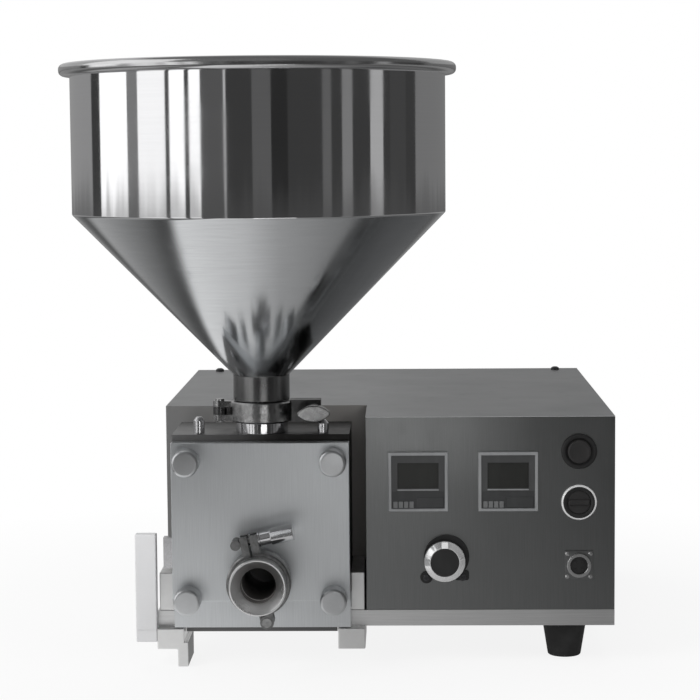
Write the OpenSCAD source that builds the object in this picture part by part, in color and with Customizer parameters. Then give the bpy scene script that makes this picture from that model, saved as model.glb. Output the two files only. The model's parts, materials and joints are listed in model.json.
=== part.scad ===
// Donut filler machine: a gear pump under a conical hopper, driven and timed by a steel cabinet.
// Millimetres. Front is -Y, the outlet points that way; the machine stands on Z = 0.

/* [Cabinet] */
// width of the cabinet
cab_w = 370; // [340:1:420]
// depth from the control panel to the rear panel
cab_d = 372; // [320:1:420]
// height of the cabinet's top above the table
cab_top = 202; // [190:1:240]
// thickness of the folded sheet
sheet = 1.5; // [1:0.1:2.5]
// room in the pump bay beside the pump body, left and right
bay_left = 14.25; // [12:0.25:20]
bay_right = 12.75; // [10:0.25:20]
// how far the pump bay is set back from the control panel
bay_d = 80; // [76:1:100]
// height of the chassis pan's skirt
pan_h = 13; // [10:1:20]

/* [Feet and stand] */
// height of the pan's lower edge above the table
foot_h = 31.5; // [25:0.5:45]
// foot diameter at the pan and at the table
foot_d_top = 32; // [24:1:40]
foot_d_low = 25; // [18:1:32]
// section of the rails under the pump, and how high they hang above the table
rail_w = 22; // [16:1:30]
rail_gap = 14.5; // [8:0.5:20]
// width and depth of the flat bar on the left end of the stand
side_bar_w = 17; // [14:1:26]
side_bar_d = 10; // [6:1:20]
// height of that bar
side_bar_h = 88; // [60:1:100]

/* [Pump] */
// pump body width, and the depth of the block behind its front flange
body_w = 142.5; // [130:0.5:150]
body_d = 70; // [60:1:74]
// top of the pump body
body_top = 189.6; // [180:0.1:195]
// thickness of the body's front flange and of the cover plate
flange_t = 9; // [6:0.5:12]
cover_t = 12; // [8:0.5:16]
// bottom edge and height of the cover plate
cover_z = 55.4; // [50:0.1:60]
cover_h = 129; // [120:0.5:134]
// gear module and teeth
gear_m = 4.5; // [3:0.25:5]
gear_n = 12; // [10:1:16]
// tooth width
gear_w = 41.8; // [20:0.2:44]
// pressure angle
gear_pa = 25; // [20:1:28]
// height of the gears' axes
gear_z = 120; // [112:1:128]
// shaft diameter
shaft_d = 14; // [10:1:16]

/* [Cover knobs] */
// distance of the knobs' axes from the cover's side edges
knob_in = 12.95; // [12:0.05:18]
// the upper pair below the cover's top edge, the lower pair above its bottom edge
knob_drop = 14.4; // [12:0.1:20]
knob_rise = 3.6; // [2:0.1:6]
// knob diameter and length
knob_d = 21.5; // [18:0.5:26]
knob_l = 17.5; // [12:0.5:24]
// stud diameter and thread pitch
stud_d = 8; // [6:1:10]
stud_pitch = 1.25; // [1:0.25:1.5]

/* [Ferrule joints] */
// bore of the product path
path_d = 30; // [26:1:30]
// ferrule flange diameter
fer_d = 40; // [38:0.5:42]
// gasket thickness
gasket_t = 1.6; // [1:0.2:3]
// clamp ring outer diameter and width
clamp_d = 51; // [49:0.5:54]
clamp_w = 16.4; // [15:0.2:18]
// height of the hopper joint
hop_joint_z = 206.7; // [204:0.1:212]
// height and reach of the outlet
outlet_z = 76.5; // [70:0.5:84]
outlet_joint_y = 24; // [22:0.5:28]
// mouth of the outlet: outer diameter, throat diameter, distance of its face from the cover
mouth_d = 45.2; // [42:0.2:48]
throat_d = 28; // [24:0.5:30]
mouth_y = 45; // [40:0.5:55]
// lean of the outlet clamp to the left
outlet_clamp_a = 12; // [0:1:20]

/* [Hopper] */
// diameter of the cylinder
hop_d = 298.6; // [260:0.2:320]
// diameter of the rolled rim
rim_d = 316; // [280:1:340]
// top of the rim, seam between cylinder and cone, lower end of the cone
rim_z = 485; // [460:1:520]
seam_z = 366.4; // [350:0.2:380]
cone_z = 236.4; // [230:0.2:245]
// diameter of the neck tube
neck_d = 45.6; // [44:0.2:50]
// wall thickness
hop_t = 1.5; // [1:0.1:3]
// distance of the hopper's axis behind the control panel
hop_y = 12; // [8:1:20]

/* [Controls] */
// side of the square timers
timer_s = 48; // [45:1:52]
// their places, as shares of the panel's width and height
timer_left_at = 0.21; // [0.19:0.005:0.23]
timer_right_at = 0.571; // [0.55:0.001:0.59]
timer_up = 0.6673; // [0.64:0.0001:0.7]
// place of the speed knob, as such shares
dial_at = 0.3152; // [0.28:0.0001:0.36]
dial_up = 0.266; // [0.24:0.001:0.3]
// skirt diameter and height of the speed knob
dial_d = 34; // [28:1:40]
dial_h = 18; // [12:1:24]
// the column of round controls at the right: its place across, and three heights, as such shares
column_at = 0.8554; // [0.84:0.0001:0.87]
start_up = 0.8203; // [0.8:0.0001:0.84]
mode_up = 0.5575; // [0.54:0.0001:0.58]
socket_up = 0.233; // [0.2:0.001:0.28]
// bezel diameter and mounting hole of the round controls
bezel_d = 28.6; // [26:0.1:30]
hole_d = 22.3; // [22:0.1:23]
// travel of the start button
start_travel = 3.5; // [2:0.5:5]

/* [Hidden] */

$fn = 64;
eps = 0.01;
run_fit = 0.05;          // radial play of a turning fit
gap = 0.3;               // play between round faces that don't run on each other

// cabinet
cab_l = -cab_w / 2;
cab_r = cab_w / 2;
px = cab_l + bay_left + body_w / 2;      // the pump's middle
bay_r = px + body_w / 2 + bay_right;
panel_w = cab_r - bay_r;
deck_z = foot_h + pan_h;
deck_under = deck_z - sheet;
panel_h = cab_top - deck_z;
lip = 10;                // width of the folded lips that the two panels screw to
inlet_proud = 3;         // how far the power inlet stands out of the rear panel

function across(share) = bay_r + share * panel_w;
function up(share) = deck_z + share * panel_h;
timer_x = [across(timer_left_at), across(timer_right_at)];
timer_z = up(timer_up);
dial_x = across(dial_at);
dial_z = up(dial_up);
col_x = across(column_at);
start_z = up(start_up);
mode_z = up(mode_up);
socket_z = up(socket_up);

// the whole stands with the middle of its box on the origin
x_min = px - rim_d / 2;
y_min = hop_y - rim_d / 2;
x_mid = (x_min + cab_r) / 2;
y_mid = (y_min + cab_d + inlet_proud) / 2;

// pump
tip_play = 0.1;          // between the teeth's tips and the housing
gear_play = 0.05;        // at each face of the gears
bed_t = 3.5;             // plate that the pump stands on
body_z = deck_z + bed_t;
flange_drop = 12;        // how far the front flange hangs below the deck
flange_z = deck_z - flange_drop;
cover_y = -flange_t;
front_y = cover_y - cover_t;
pitch_r = gear_m * gear_n / 2;
tip_r = pitch_r + gear_m;
dedendum = 1.15;         // depth of a tooth's root, in modules
root_r = pitch_r - dedendum * gear_m;
cavity_r = tip_r + tip_play;
cavity_d = gear_w + 2 * gear_play;
bush_l = 8;
rear_bush_l = 18;
bush_d = 18;
seal_d = 26;
seal_l = 10;
seal_t = 1.6;
cavity_back = cover_y + cavity_d;
washer_t = 1.5;
stud_len = 50;
knob_end = 1.5;          // metal left at the blind end of a knob's thread
stud_play = 1;           // thread left free beyond the stud
stud_out = floor((knob_l - knob_end - stud_play) / stud_pitch) * stud_pitch;
stud_in = stud_len - stud_out;
knob_seat = front_y - washer_t;
knob_dx = body_w / 2 - knob_in;
knob_z_up = cover_z + cover_h - knob_drop;
knob_z_low = cover_z + knob_rise;
knob_xz = [[-knob_dx, knob_z_up], [knob_dx, knob_z_up], [-knob_dx, knob_z_low], [knob_dx, knob_z_low]];

// drive
shaft_end = 0.5;         // a shaft's end stays this far inside its bush
coupling_back = 6;       // the coupling's distance behind the bay's wall
coupling_y = bay_d + coupling_back;
coupling_l = 30;
coupling_d = 30;
coupling_gap = 1;        // half the gap between the two shafts' ends
coupling_clear = 3;
motor_y = coupling_y + coupling_l + coupling_clear;

// ferrule joint
fer_rim = 1.8;           // thickness of the flange's edge
fer_taper = 1.8;         // length of the tapered back of the flange
fer_tube_r = 16.8;
gasket_in = 0.5;         // the gasket ends this far inside the flange's edge
wing_w = 28;
wing_t = 13;

module placed() translate([-x_mid, -y_mid, 0]) children();
module at_pump() placed() translate([px, 0, 0]) children();
module on_panel(x, z) placed() translate([x, 0, z]) rotate([90, 0, 0]) children();

steel = [0.62, 0.63, 0.64];
bright = [0.78, 0.79, 0.8];
cast = [0.35, 0.36, 0.37];
black = [0.08, 0.08, 0.085];
rubber = [0.05, 0.05, 0.05];
white_plastic = [0.86, 0.87, 0.88];

// ---------------------------------------------------------------- helpers

function polar(r, a) = [r * cos(a), r * sin(a)];
function arc(cx, cy, r, a0, a1, n) = [for (i = [0 : n]) [cx, cy] + polar(r, a0 + (a1 - a0) * i / n)];

// a bar along Y from y0 to y1
module rod_y(d, y0, y1) translate([0, y1, 0]) rotate([90, 0, 0]) cylinder(d = d, h = y1 - y0);
module ring_y(d, hole, y0, y1) difference() {
  rod_y(d, y0, y1);
  rod_y(hole, y0 - 1, y1 + 1);
}

module slot2d(len, w) {
  square([len - w, w], center = true);
  for (s = [-1, 1]) translate([s * (len - w) / 2, 0]) circle(d = w);
}

// ---------------------------------------------------------------- cabinet

// three feet; the stand's leg carries the corner under the pump
foot_in = [38, 34];
foot_hole = 5;
screw_play = 0.1;
foot_xy = [
  [cab_r - foot_in[0], foot_in[1]], [cab_l + foot_in[0], cab_d - foot_in[1]],
  [cab_r - foot_in[0], cab_d - foot_in[1]]
];

module base_pan() color(steel) placed() difference() {
  translate([cab_l, 0, foot_h]) cube([cab_w, cab_d, pan_h]);
  translate([cab_l + sheet, sheet, foot_h - 1])
    cube([cab_w - 2 * sheet, cab_d - 2 * sheet, pan_h - sheet + 1]);
  for (p = foot_xy) translate([p[0], p[1], foot_h]) cylinder(d = foot_hole, h = pan_h + 1);
}

module cabinet_plan(t) polygon([
  [cab_l + t, bay_d + t], [bay_r + t, bay_d + t], [bay_r + t, t > 0 ? 0 : sheet],
  [cab_r - t, t > 0 ? 0 : sheet], [cab_r - t, cab_d + (t > 0 ? 1 : -sheet)],
  [cab_l + t, cab_d + (t > 0 ? 1 : -sheet)]
]);

module housing_shell() difference() {
  translate([0, 0, deck_z]) linear_extrude(cab_top - deck_z) cabinet_plan(0);
  translate([0, 0, deck_z - 1]) linear_extrude(cab_top - deck_z + 1 - sheet) cabinet_plan(sheet);
}

screw_d = 4;
screw_hole = 4.2;
screw_head_d = 7.8;
screw_head_h = 2.8;
screw_l = 8;
top_screw_in = 12;
top_screw_side = 22;     // the top screws from the cabinet's sides
top_screw_x = [cab_l + top_screw_side, cab_r - top_screw_side];
cut_deep = 5;            // how far a cutter reaches past each face of a sheet
shaft_room = 12;         // play round the shaft where it enters the cabinet

// a folded strip that a panel screws to
module panel_lip(x, y) translate([x, y, deck_z]) cube([lip + eps, sheet, cab_top - sheet - deck_z + eps]);

module housing_cover() color(steel) placed() difference() {
  union() {
    housing_shell();
    panel_lip(bay_r + sheet - eps, sheet);
    panel_lip(cab_r - sheet - lip, sheet);
    panel_lip(cab_l + sheet - eps, cab_d - 2 * sheet);
    panel_lip(cab_r - sheet - lip, cab_d - 2 * sheet);
  }
  translate([px + pitch_r, 0, gear_z]) rod_y(shaft_d + shaft_room, bay_d - 1, bay_d + sheet + 1);
  for (x = top_screw_x) translate([x, cab_d - top_screw_in, cab_top - sheet - 1])
    cylinder(d = screw_hole, h = sheet + 2);
  for (p = rear_screw_xz) translate([p[0], 0, p[1]]) rod_y(screw_hole, cab_d - lip, cab_d + 1);
}

module control_panel() color(steel) difference() {
  placed() translate([bay_r, 0, deck_z]) cube([panel_w, sheet, cab_top - deck_z]);
  for (x = timer_x) on_panel(x, timer_z) translate([0, 0, -cut_deep])
    linear_extrude(2 * cut_deep) square(timer_case + 2 * timer_play, center = true);
  on_panel(dial_x, dial_z) translate([0, 0, -cut_deep]) cylinder(d = dial_hole, h = 2 * cut_deep);
  for (z = [start_z, mode_z]) on_panel(col_x, z) translate([0, 0, -cut_deep])
    cylinder(d = hole_d, h = 2 * cut_deep);
  on_panel(col_x, socket_z) translate([0, 0, -cut_deep])
    cylinder(d = socket_d + 2 * gap, h = 2 * cut_deep);
}

vent_x = [-120, 20];
vent_z = 92;
vent_rows = 8;
vent_pitch = 9;
vent_slot = [70, 4];
inlet_from_side = 55;
inlet_up = 31.5;
inlet_x = cab_r - inlet_from_side;
inlet_z = deck_z + inlet_up;
inlet_case = [27.4, 19.8];
rear_screw_in = [7, 12];
rear_screw_xz = [for (x = [cab_l + rear_screw_in[0], cab_r - rear_screw_in[0]],
  z = [deck_z + rear_screw_in[1], cab_top - rear_screw_in[1]]) [x, z]];

module rear_panel() color(steel) placed() difference() {
  translate([cab_l, cab_d - sheet, deck_z]) cube([cab_w, sheet, cab_top - deck_z]);
  for (x = vent_x, i = [0 : vent_rows - 1]) translate([x, cab_d + 1, vent_z + i * vent_pitch])
    rotate([90, 0, 0]) linear_extrude(sheet + 2) slot2d(vent_slot[0], vent_slot[1]);
  translate([inlet_x, cab_d + 1, inlet_z]) rotate([90, 0, 0]) linear_extrude(sheet + 2)
    square([inlet_case[0] + 2 * gap, inlet_case[1] + 2 * gap], center = true);
  for (p = rear_screw_xz) translate([p[0], 0, p[1]]) rod_y(screw_hole, cab_d - sheet - 1, cab_d + 1);
}

module pan_head(d, h) {
  cylinder(d = d, h = h * 0.6);
  translate([0, 0, h * 0.6 - eps]) cylinder(d1 = d, d2 = d * 0.55, h = h * 0.4 + eps);
}

module sheet_screw() {
  pan_head(screw_head_d, screw_head_h);
  translate([0, 0, -screw_l]) cylinder(d = screw_d, h = screw_l + eps);
}

foot_recess = [11, 14];  // hole up into each foot, for the screw's head
foot_screw_head = [9, 3];
foot_nut = [8, 4];

module cabinet_screws() color(black) placed() {
  for (x = top_screw_x) translate([x, cab_d - top_screw_in, cab_top]) sheet_screw();
  for (p = rear_screw_xz) translate([p[0], cab_d, p[1]]) rotate([-90, 0, 0]) sheet_screw();
  // foot screws, their heads up inside the feet and their nuts on the deck
  for (p = foot_xy) translate([p[0], p[1], 0]) {
    translate([0, 0, foot_recess[1] - foot_screw_head[1]])
      cylinder(d = foot_screw_head[0], h = foot_screw_head[1]);
    translate([0, 0, foot_recess[1] - eps])
      cylinder(d = foot_hole - 2 * screw_play, h = deck_z + foot_nut[1] + 2 - foot_recess[1]);
    translate([0, 0, deck_z]) cylinder(d = foot_nut[0] / cos(30), h = foot_nut[1], $fn = 6);
  }
}

module rubber_feet() color(rubber) placed() for (p = foot_xy) translate([p[0], p[1], 0])
  difference() {
    union() {
      cylinder(d1 = foot_d_low, d2 = foot_d_top, h = foot_h);
      translate([0, 0, foot_h - eps]) cylinder(d = foot_d_top, h = deck_under - foot_h + eps);
    }
    translate([0, 0, -1]) cylinder(d = foot_recess[0], h = foot_recess[1] + 1);
    cylinder(d = foot_hole, h = deck_under + 1);
  }

// ---------------------------------------------------------------- stand and cradle

cradle_l = cab_l + sheet;
cradle_r = bay_r - sheet;
cheek_h = 31;
bed_back = 2;            // room left between the bed and the bay's rear wall

module pump_cradle() color(bright) {
  placed() translate([cradle_l, 0, deck_z]) cube([cradle_r - cradle_l, bay_d - bed_back, bed_t]);
  placed() for (e = [[cradle_l, px - body_w / 2], [px + body_w / 2, cradle_r]])
    translate([e[0], 0, deck_z]) cube([e[1] - e[0], body_d, cheek_h]);
}

stand_d = 62;
strip_t = 5;
strip_y = 2;
leg_w = 8.5;
leg_d = 46;
leg_step = 3;            // how far the leg stands out beyond its rail
leg_lap = 6;             // how far it laps up the rail's side
rail_in = 1;             // the right rail's distance from the bay's edge
rail_x = [cab_l, bay_r - rail_in - rail_w];
side_bar_z = 20.5;

module stand_rails() color(bright) placed() {
  for (x = rail_x) translate([x, -flange_t, rail_gap]) cube([rail_w, stand_d, foot_h - rail_gap]);
  translate([rail_x[0] + rail_w - eps, strip_y, foot_h - strip_t])
    cube([rail_x[1] - rail_x[0] - rail_w + 2 * eps, stand_d / 2, strip_t]);
  translate([rail_x[0] + rail_w - leg_w + leg_step, -flange_t, 0]) difference() {
    cube([leg_w, leg_d, rail_gap + leg_lap]);
    translate([-1, -1, rail_gap]) cube([leg_w - leg_step + 1 - eps, leg_d + 2, leg_lap + 1]);
  }
}

module side_post() color(white_plastic) placed()
  translate([cab_l - side_bar_w, -flange_t, side_bar_z]) cube([side_bar_w, side_bar_d, side_bar_h]);

// ---------------------------------------------------------------- gear pump

shaft_gap = 1.5;         // between the shaft and the hole behind its rear bush
mesh_in = 16;            // how near the gears' axes the inlet bore and the outlet slot come
mesh_out = 14;
stud_hole = stud_d + 1;  // holes and slots of the cover for the studs

module body_block() {
  translate([-body_w / 2, -flange_t, flange_z]) cube([body_w, flange_t, body_top - flange_z]);
  translate([-body_w / 2, -eps, body_z]) cube([body_w, body_d + eps, body_top - body_z]);
}

module pump_body() color(steel) at_pump() difference() {
  body_block();
  for (s = [-1, 1]) translate([s * pitch_r, 0, gear_z]) {
    rod_y(2 * cavity_r, cover_y - 1, cavity_back);
    rod_y(bush_d, cavity_back - 1, cavity_back + rear_bush_l);
  }
  translate([pitch_r, 0, gear_z]) {
    rod_y(shaft_d + 2 * shaft_gap, 0, body_d + 1);
    rod_y(seal_d, body_d - seal_l, body_d + 1);
  }
  // product path: down to the mesh, and from under it to the outlet
  translate([0, hop_y, gear_z + mesh_in]) cylinder(d = path_d, h = body_top - gear_z);
  translate([0, 0, outlet_z]) rod_y(throat_d, cover_y - 1, hop_y + path_d / 2);
  translate([-throat_d / 2, cover_y - 1, outlet_z])
    cube([throat_d, hop_y + path_d / 2 - cover_y + 1, gear_z - mesh_out - outlet_z]);
  for (p = knob_xz) translate([p[0], 0, p[1]]) rod_y(stud_d, cover_y - 1, knob_seat + stud_in);
  seal_loop();
}

module cover_outline() difference() {
  translate([-body_w / 2, cover_z]) square([body_w, cover_h]);
  for (s = [-1, 1]) {
    translate([s * knob_dx, knob_z_up]) circle(d = stud_hole);
    translate([s * knob_dx, knob_z_low]) circle(d = stud_hole);
    translate([s * knob_dx - stud_hole / 2, cover_z - 1]) square([stud_hole, knob_z_low - cover_z + 1]);
  }
  translate([0, outlet_z]) circle(d = throat_d);
}

module pump_cover() color(bright) at_pump() difference() {
  union() {
    translate([0, cover_y, 0]) rotate([90, 0, 0]) linear_extrude(cover_t) cover_outline();
    translate([0, 0, outlet_z]) translate([0, front_y + eps, 0]) rotate([90, 0, 0]) rotate_extrude()
      stub_profile(throat_d / 2, outlet_joint_y + eps);
  }
  for (s = [-1, 1]) translate([s * pitch_r, 0, gear_z]) rod_y(bush_d, cover_y - bush_l, cover_y + 1);
}

// turned stub with a ferrule flange at its end, running up from 0
module stub_profile(r_in, h) polygon([
  [r_in, 0], [fer_tube_r, 0],
  [fer_tube_r, h - gasket_t / 2 - fer_rim - fer_taper],
  [fer_d / 2, h - gasket_t / 2 - fer_rim],
  [fer_d / 2, h - gasket_t / 2], [r_in, h - gasket_t / 2]
]);

seal_in = 3;             // metal between the cavity and the gasket's groove
seal_w = 2;

// a loop that runs round both gears and the outlet, k outside them
module seal_outline(k) {
  for (s = [-1, 1]) translate([s * pitch_r, gear_z]) circle(r = cavity_r + k);
  translate([-pitch_r, gear_z - cavity_r - k]) square([2 * pitch_r, 2 * (cavity_r + k)]);
  translate([0, outlet_z]) circle(r = throat_d / 2 + k);
  translate([-throat_d / 2 - k, outlet_z]) square([throat_d + 2 * k, gear_z - outlet_z]);
}
module seal_loop() translate([0, cover_y + seal_t, 0]) rotate([90, 0, 0]) linear_extrude(seal_t)
  difference() {
    seal_outline(seal_in + seal_w);
    seal_outline(seal_in);
  }

module cover_gasket() color(rubber) at_pump() seal_loop();

// involute tooth flank
function inv_point(rb, t) = [rb * (cos(t) + t * PI / 180 * sin(t)), rb * (sin(t) - t * PI / 180 * cos(t))];
function spin(p, a) = [p[0] * cos(a) - p[1] * sin(a), p[0] * sin(a) + p[1] * cos(a)];
function roll_at(rb, r) = sqrt(max(r * r / (rb * rb) - 1, 0)) * 180 / PI;
function inv_angle(rb, r) = roll_at(rb, r) - acos(min(rb / r, 1));

base_r = pitch_r * cos(gear_pa);
backlash_a = 0.55;
half_tooth = 90 / gear_n - backlash_a + inv_angle(base_r, pitch_r);
flank_steps = 6;
start_r = max(base_r, root_r);

function flank(side) = [for (i = [0 : flank_steps])
  let (r = start_r + (tip_r - start_r) * i / flank_steps, a = half_tooth - inv_angle(base_r, r))
  polar(r, side * a)];
function reversed(v) = [for (i = [len(v) - 1 : -1 : 0]) v[i]];
function tooth(a) = [for (p = concat([polar(root_r, -half_tooth)], flank(-1), reversed(flank(1)),
  [polar(root_r, half_tooth)])) spin(p, a)];

module gear(phase) difference() {
  rotate([90, 0, 0]) linear_extrude(gear_w)
    polygon([for (k = [0 : gear_n - 1]) each tooth(phase + k * 360 / gear_n)]);
  rod_y(shaft_d, -gear_w - 1, 1);
}

module gear_at(side, phase) at_pump() translate([side * pitch_r, cavity_back - gear_play, gear_z])
  gear(phase);
module drive_gear() color(bright) gear_at(1, 0);
module driven_gear() color(bright) gear_at(-1, 180 / gear_n);

module drive_shaft() color(bright) at_pump() translate([pitch_r, 0, gear_z])
  rod_y(shaft_d, cover_y - bush_l + shaft_end, coupling_y + coupling_l / 2 - coupling_gap);
module idler_shaft() color(bright) at_pump() translate([-pitch_r, 0, gear_z])
  rod_y(shaft_d, cover_y - bush_l + shaft_end, cavity_back + rear_bush_l - shaft_end);

module shaft_bushes() color([0.72, 0.55, 0.3]) at_pump() for (s = [-1, 1])
  translate([s * pitch_r, 0, gear_z]) {
    ring_y(bush_d, shaft_d + 2 * run_fit, cover_y - bush_l, cover_y);
    ring_y(bush_d, shaft_d + 2 * run_fit, cavity_back, cavity_back + rear_bush_l);
  }

module shaft_seal() color(rubber) at_pump() translate([pitch_r, 0, gear_z])
  ring_y(seal_d, shaft_d + 2 * run_fit, body_d - seal_l, body_d);

module cover_studs() color(bright) at_pump() for (p = knob_xz) translate([p[0], 0, p[1]])
  rod_y(stud_d, knob_seat - stud_out, knob_seat + stud_in);

knob_edge = 1;
knob_round = 1.5;
washer_in = 1.5;         // the washer is this much smaller than the knob, all round

module knob(i) color(bright) at_pump() translate([knob_xz[i][0], knob_seat, knob_xz[i][1]])
  rotate([90, 0, 0]) difference() {
    rotate_extrude() polygon([[0, 0], [knob_d / 2 - knob_edge, 0], [knob_d / 2, knob_edge],
      [knob_d / 2, knob_l - knob_round], [knob_d / 2 - knob_round, knob_l], [0, knob_l]]);
    translate([0, 0, -1]) cylinder(d = stud_d + 2 * run_fit, h = stud_out + stud_play + 1);
  }
module washer(i) color(bright) at_pump() translate([knob_xz[i][0], 0, knob_xz[i][1]])
  ring_y(knob_d - 2 * washer_in, stud_d + 2 * run_fit, knob_seat, front_y);

module cover_knob_1() knob(0);
module cover_knob_2() knob(1);
module cover_knob_3() knob(2);
module cover_knob_4() knob(3);
module knob_washer_1() washer(0);
module knob_washer_2() washer(1);
module knob_washer_3() washer(2);
module knob_washer_4() washer(3);

// two dowel posts on the body, the right one shorter to clear the wing nut, and the side lug
post_d = 9;
post_tip = 3;            // length of a post's tapered end
post_x = 50;
post_long = 13.4;
post_short = 10.9;
lug_w = 8.2;
lug_h = 25;
lug_z = 81;

module body_fittings() color(bright) at_pump() {
  for (p = [[-post_x, post_long], [post_x, post_short]]) translate([p[0], 0, body_top]) {
    cylinder(d = post_d, h = p[1] - post_tip);
    translate([0, 0, p[1] - post_tip - eps]) cylinder(d1 = post_d, d2 = post_d / 2, h = post_tip + eps);
  }
  translate([-body_w / 2 - lug_w, -flange_t, lug_z]) cube([lug_w, flange_t, lug_h]);
}

// ---------------------------------------------------------------- ferrule joints

inlet_r = 21.2;          // outside of the welded stub on top of the body
inlet_h = hop_joint_z - body_top;

module inlet_ferrule() color(bright) at_pump() translate([0, hop_y, body_top]) rotate_extrude() polygon([
  [path_d / 2, 0], [inlet_r, 0], [inlet_r, inlet_h - clamp_w / 2 - 2 * gap],
  [fer_tube_r, inlet_h - clamp_w / 2 - gap],
  [fer_tube_r, inlet_h - gasket_t / 2 - fer_rim - fer_taper],
  [fer_d / 2, inlet_h - gasket_t / 2 - fer_rim],
  [fer_d / 2, inlet_h - gasket_t / 2], [path_d / 2, inlet_h - gasket_t / 2]
]);

module gasket(r_in) rotate_extrude() translate([r_in, -gasket_t / 2])
  square([fer_d / 2 - gasket_in - r_in, gasket_t]);

module ferrule_gaskets() color([0.9, 0.9, 0.88]) at_pump() {
  translate([0, hop_y, hop_joint_z]) gasket(path_d / 2);
  translate([0, front_y - outlet_joint_y, outlet_z]) rotate([90, 0, 0]) gasket(throat_d / 2);
}

// one clamp: ring axis Z, hinge towards -X, swing bolt at bolt_x, its nut towards -Y
clamp_edge = 1;
clamp_r_in = fer_tube_r + 2 * gap;
groove_r = fer_d / 2 + gap;
groove_h = gasket_t / 2 + fer_rim + gap / 2;

module clamp_ring_profile() polygon([
  [clamp_d / 2, clamp_edge - clamp_w / 2], [clamp_d / 2, clamp_w / 2 - clamp_edge],
  [clamp_d / 2 - clamp_edge, clamp_w / 2], [clamp_r_in, clamp_w / 2],
  [clamp_r_in, groove_h + fer_taper], [groove_r, groove_h],
  [groove_r, -groove_h], [clamp_r_in, -groove_h - fer_taper],
  [clamp_r_in, -clamp_w / 2], [clamp_d / 2 - clamp_edge, -clamp_w / 2]
]);

pin_d = 5;
pin_head = [7.5, 1.5];
pin_out = 1.3;           // how far the pin stands out past the clamp, heads included
knuckle_d = 11;
knuckle_t = 5.5;
knuckle_h = 6;           // height of the middle knuckle
knuckle_gap = 0.2;
swing_d = 6;
ear_t = 6;
ear_gap = 1;
split_a = 2;             // angle left free at each end of a half ring
ear_end = 5;             // the ears reach this far past the swing bolt
ear_root = neck_d / 2 + gap;
head_back = 4;           // the bolt's cross-piece sits this far behind the ear
cross_bar = [8, 16];

module clamp_half(side, pin_x, bolt_x, ear_h) difference() {
  union() {
    rotate([0, 0, (side > 0 ? 0 : 180) + split_a])
      rotate_extrude(angle = 180 - 2 * split_a) clamp_ring_profile();
    // hinge knuckles: the rear half carries the middle one
    for (z = side > 0 ? [-knuckle_h / 2] : [knuckle_gap - clamp_w / 2, knuckle_h / 2 + knuckle_gap]) {
      kh = side > 0 ? knuckle_h : (clamp_w - knuckle_h) / 2 - 2 * knuckle_gap;
      translate([-pin_x, 0, z]) cylinder(d = knuckle_d, h = kh);
      translate([-pin_x, side > 0 ? 0 : -knuckle_t, z]) cube([pin_x - ear_root, knuckle_t, kh]);
    }
    translate([ear_root, side > 0 ? ear_gap : -ear_gap - ear_t, -ear_h / 2])
      cube([bolt_x - ear_root + ear_end, ear_t, ear_h]);
  }
  translate([-pin_x, 0, -clamp_w]) cylinder(d = pin_d, h = 2 * clamp_w);
  translate([0, 0, -clamp_w]) cylinder(r = clamp_r_in, h = 2 * clamp_w);
  translate([bolt_x - swing_d / 2 - gap, -bolt_x / 2, -swing_d / 2 - gap])
    cube([ear_end + swing_d, bolt_x, swing_d + 2 * gap]);
}

module clamp_pin(pin_x) translate([-pin_x, 0, -clamp_w / 2 - pin_out]) {
  cylinder(d = pin_d, h = clamp_w + 2 * pin_out);
  for (z = [0, clamp_w + 2 * pin_out - pin_head[1]]) translate([0, 0, z])
    cylinder(d = pin_head[0], h = pin_head[1]);
}

module clamp_bolt(bolt_x, len) translate([bolt_x, 0, 0]) {
  rod_y(swing_d, -len, ear_gap + ear_t + head_back);
  translate([0, ear_gap + ear_t + head_back, -cross_bar[1] / 2]) cylinder(d = cross_bar[0], h = cross_bar[1]);
}

clamp_washer_d = 12;
nut_neck_d = 11;
nut_y = -ear_gap - ear_t - washer_t;

module clamp_washer(bolt_x) translate([bolt_x, 0, 0])
  ring_y(clamp_washer_d, swing_d + 2 * run_fit, nut_y, nut_y + washer_t);

nut_end = 3;             // metal left at the blind end of the nut's thread
nut_play = 1;            // thread left free beyond the bolt

module wing_nut(bolt_x, hub, wing, turned) translate([bolt_x, nut_y, 0]) difference() {
  union() {
    rod_y(nut_neck_d, -hub, 0);
    translate([0, -hub + eps, 0]) rotate([90, turned, 0]) linear_extrude(wing) wing_outline();
  }
  rod_y(swing_d + 2 * run_fit, -hub - wing + nut_end, 1);
}

wing_blunt = 1;

// two arcs that meet in blunt points, longer across than high
module wing_outline() {
  r = (wing_w * wing_w / 4 + wing_t * wing_t / 4) / wing_t;
  intersection() {
    translate([0, r - wing_t / 2]) circle(r = r);
    translate([0, wing_t / 2 - r]) circle(r = r);
    square([wing_w - 2 * wing_blunt, wing_t], center = true);
  }
}

hop_pin_x = 34;
hop_bolt_x = 43;
hop_nut = [9.5, 9];      // length of the nut's neck and of its wings
out_pin_x = 31;
out_bolt_x = 34;
out_nut = [9, 18];
hop_ear_h = 18;
out_ear_h = 16;
function bolt_reach(nut) = nut[0] + nut[1] - nut_y - nut_end - nut_play;

module hopper_clamp() at_pump() translate([0, hop_y, hop_joint_z]) children();
module outlet_clamp() at_pump() translate([0, front_y - outlet_joint_y, outlet_z])
  rotate([90, -90, 0]) rotate([0, 0, outlet_clamp_a]) children();

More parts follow.
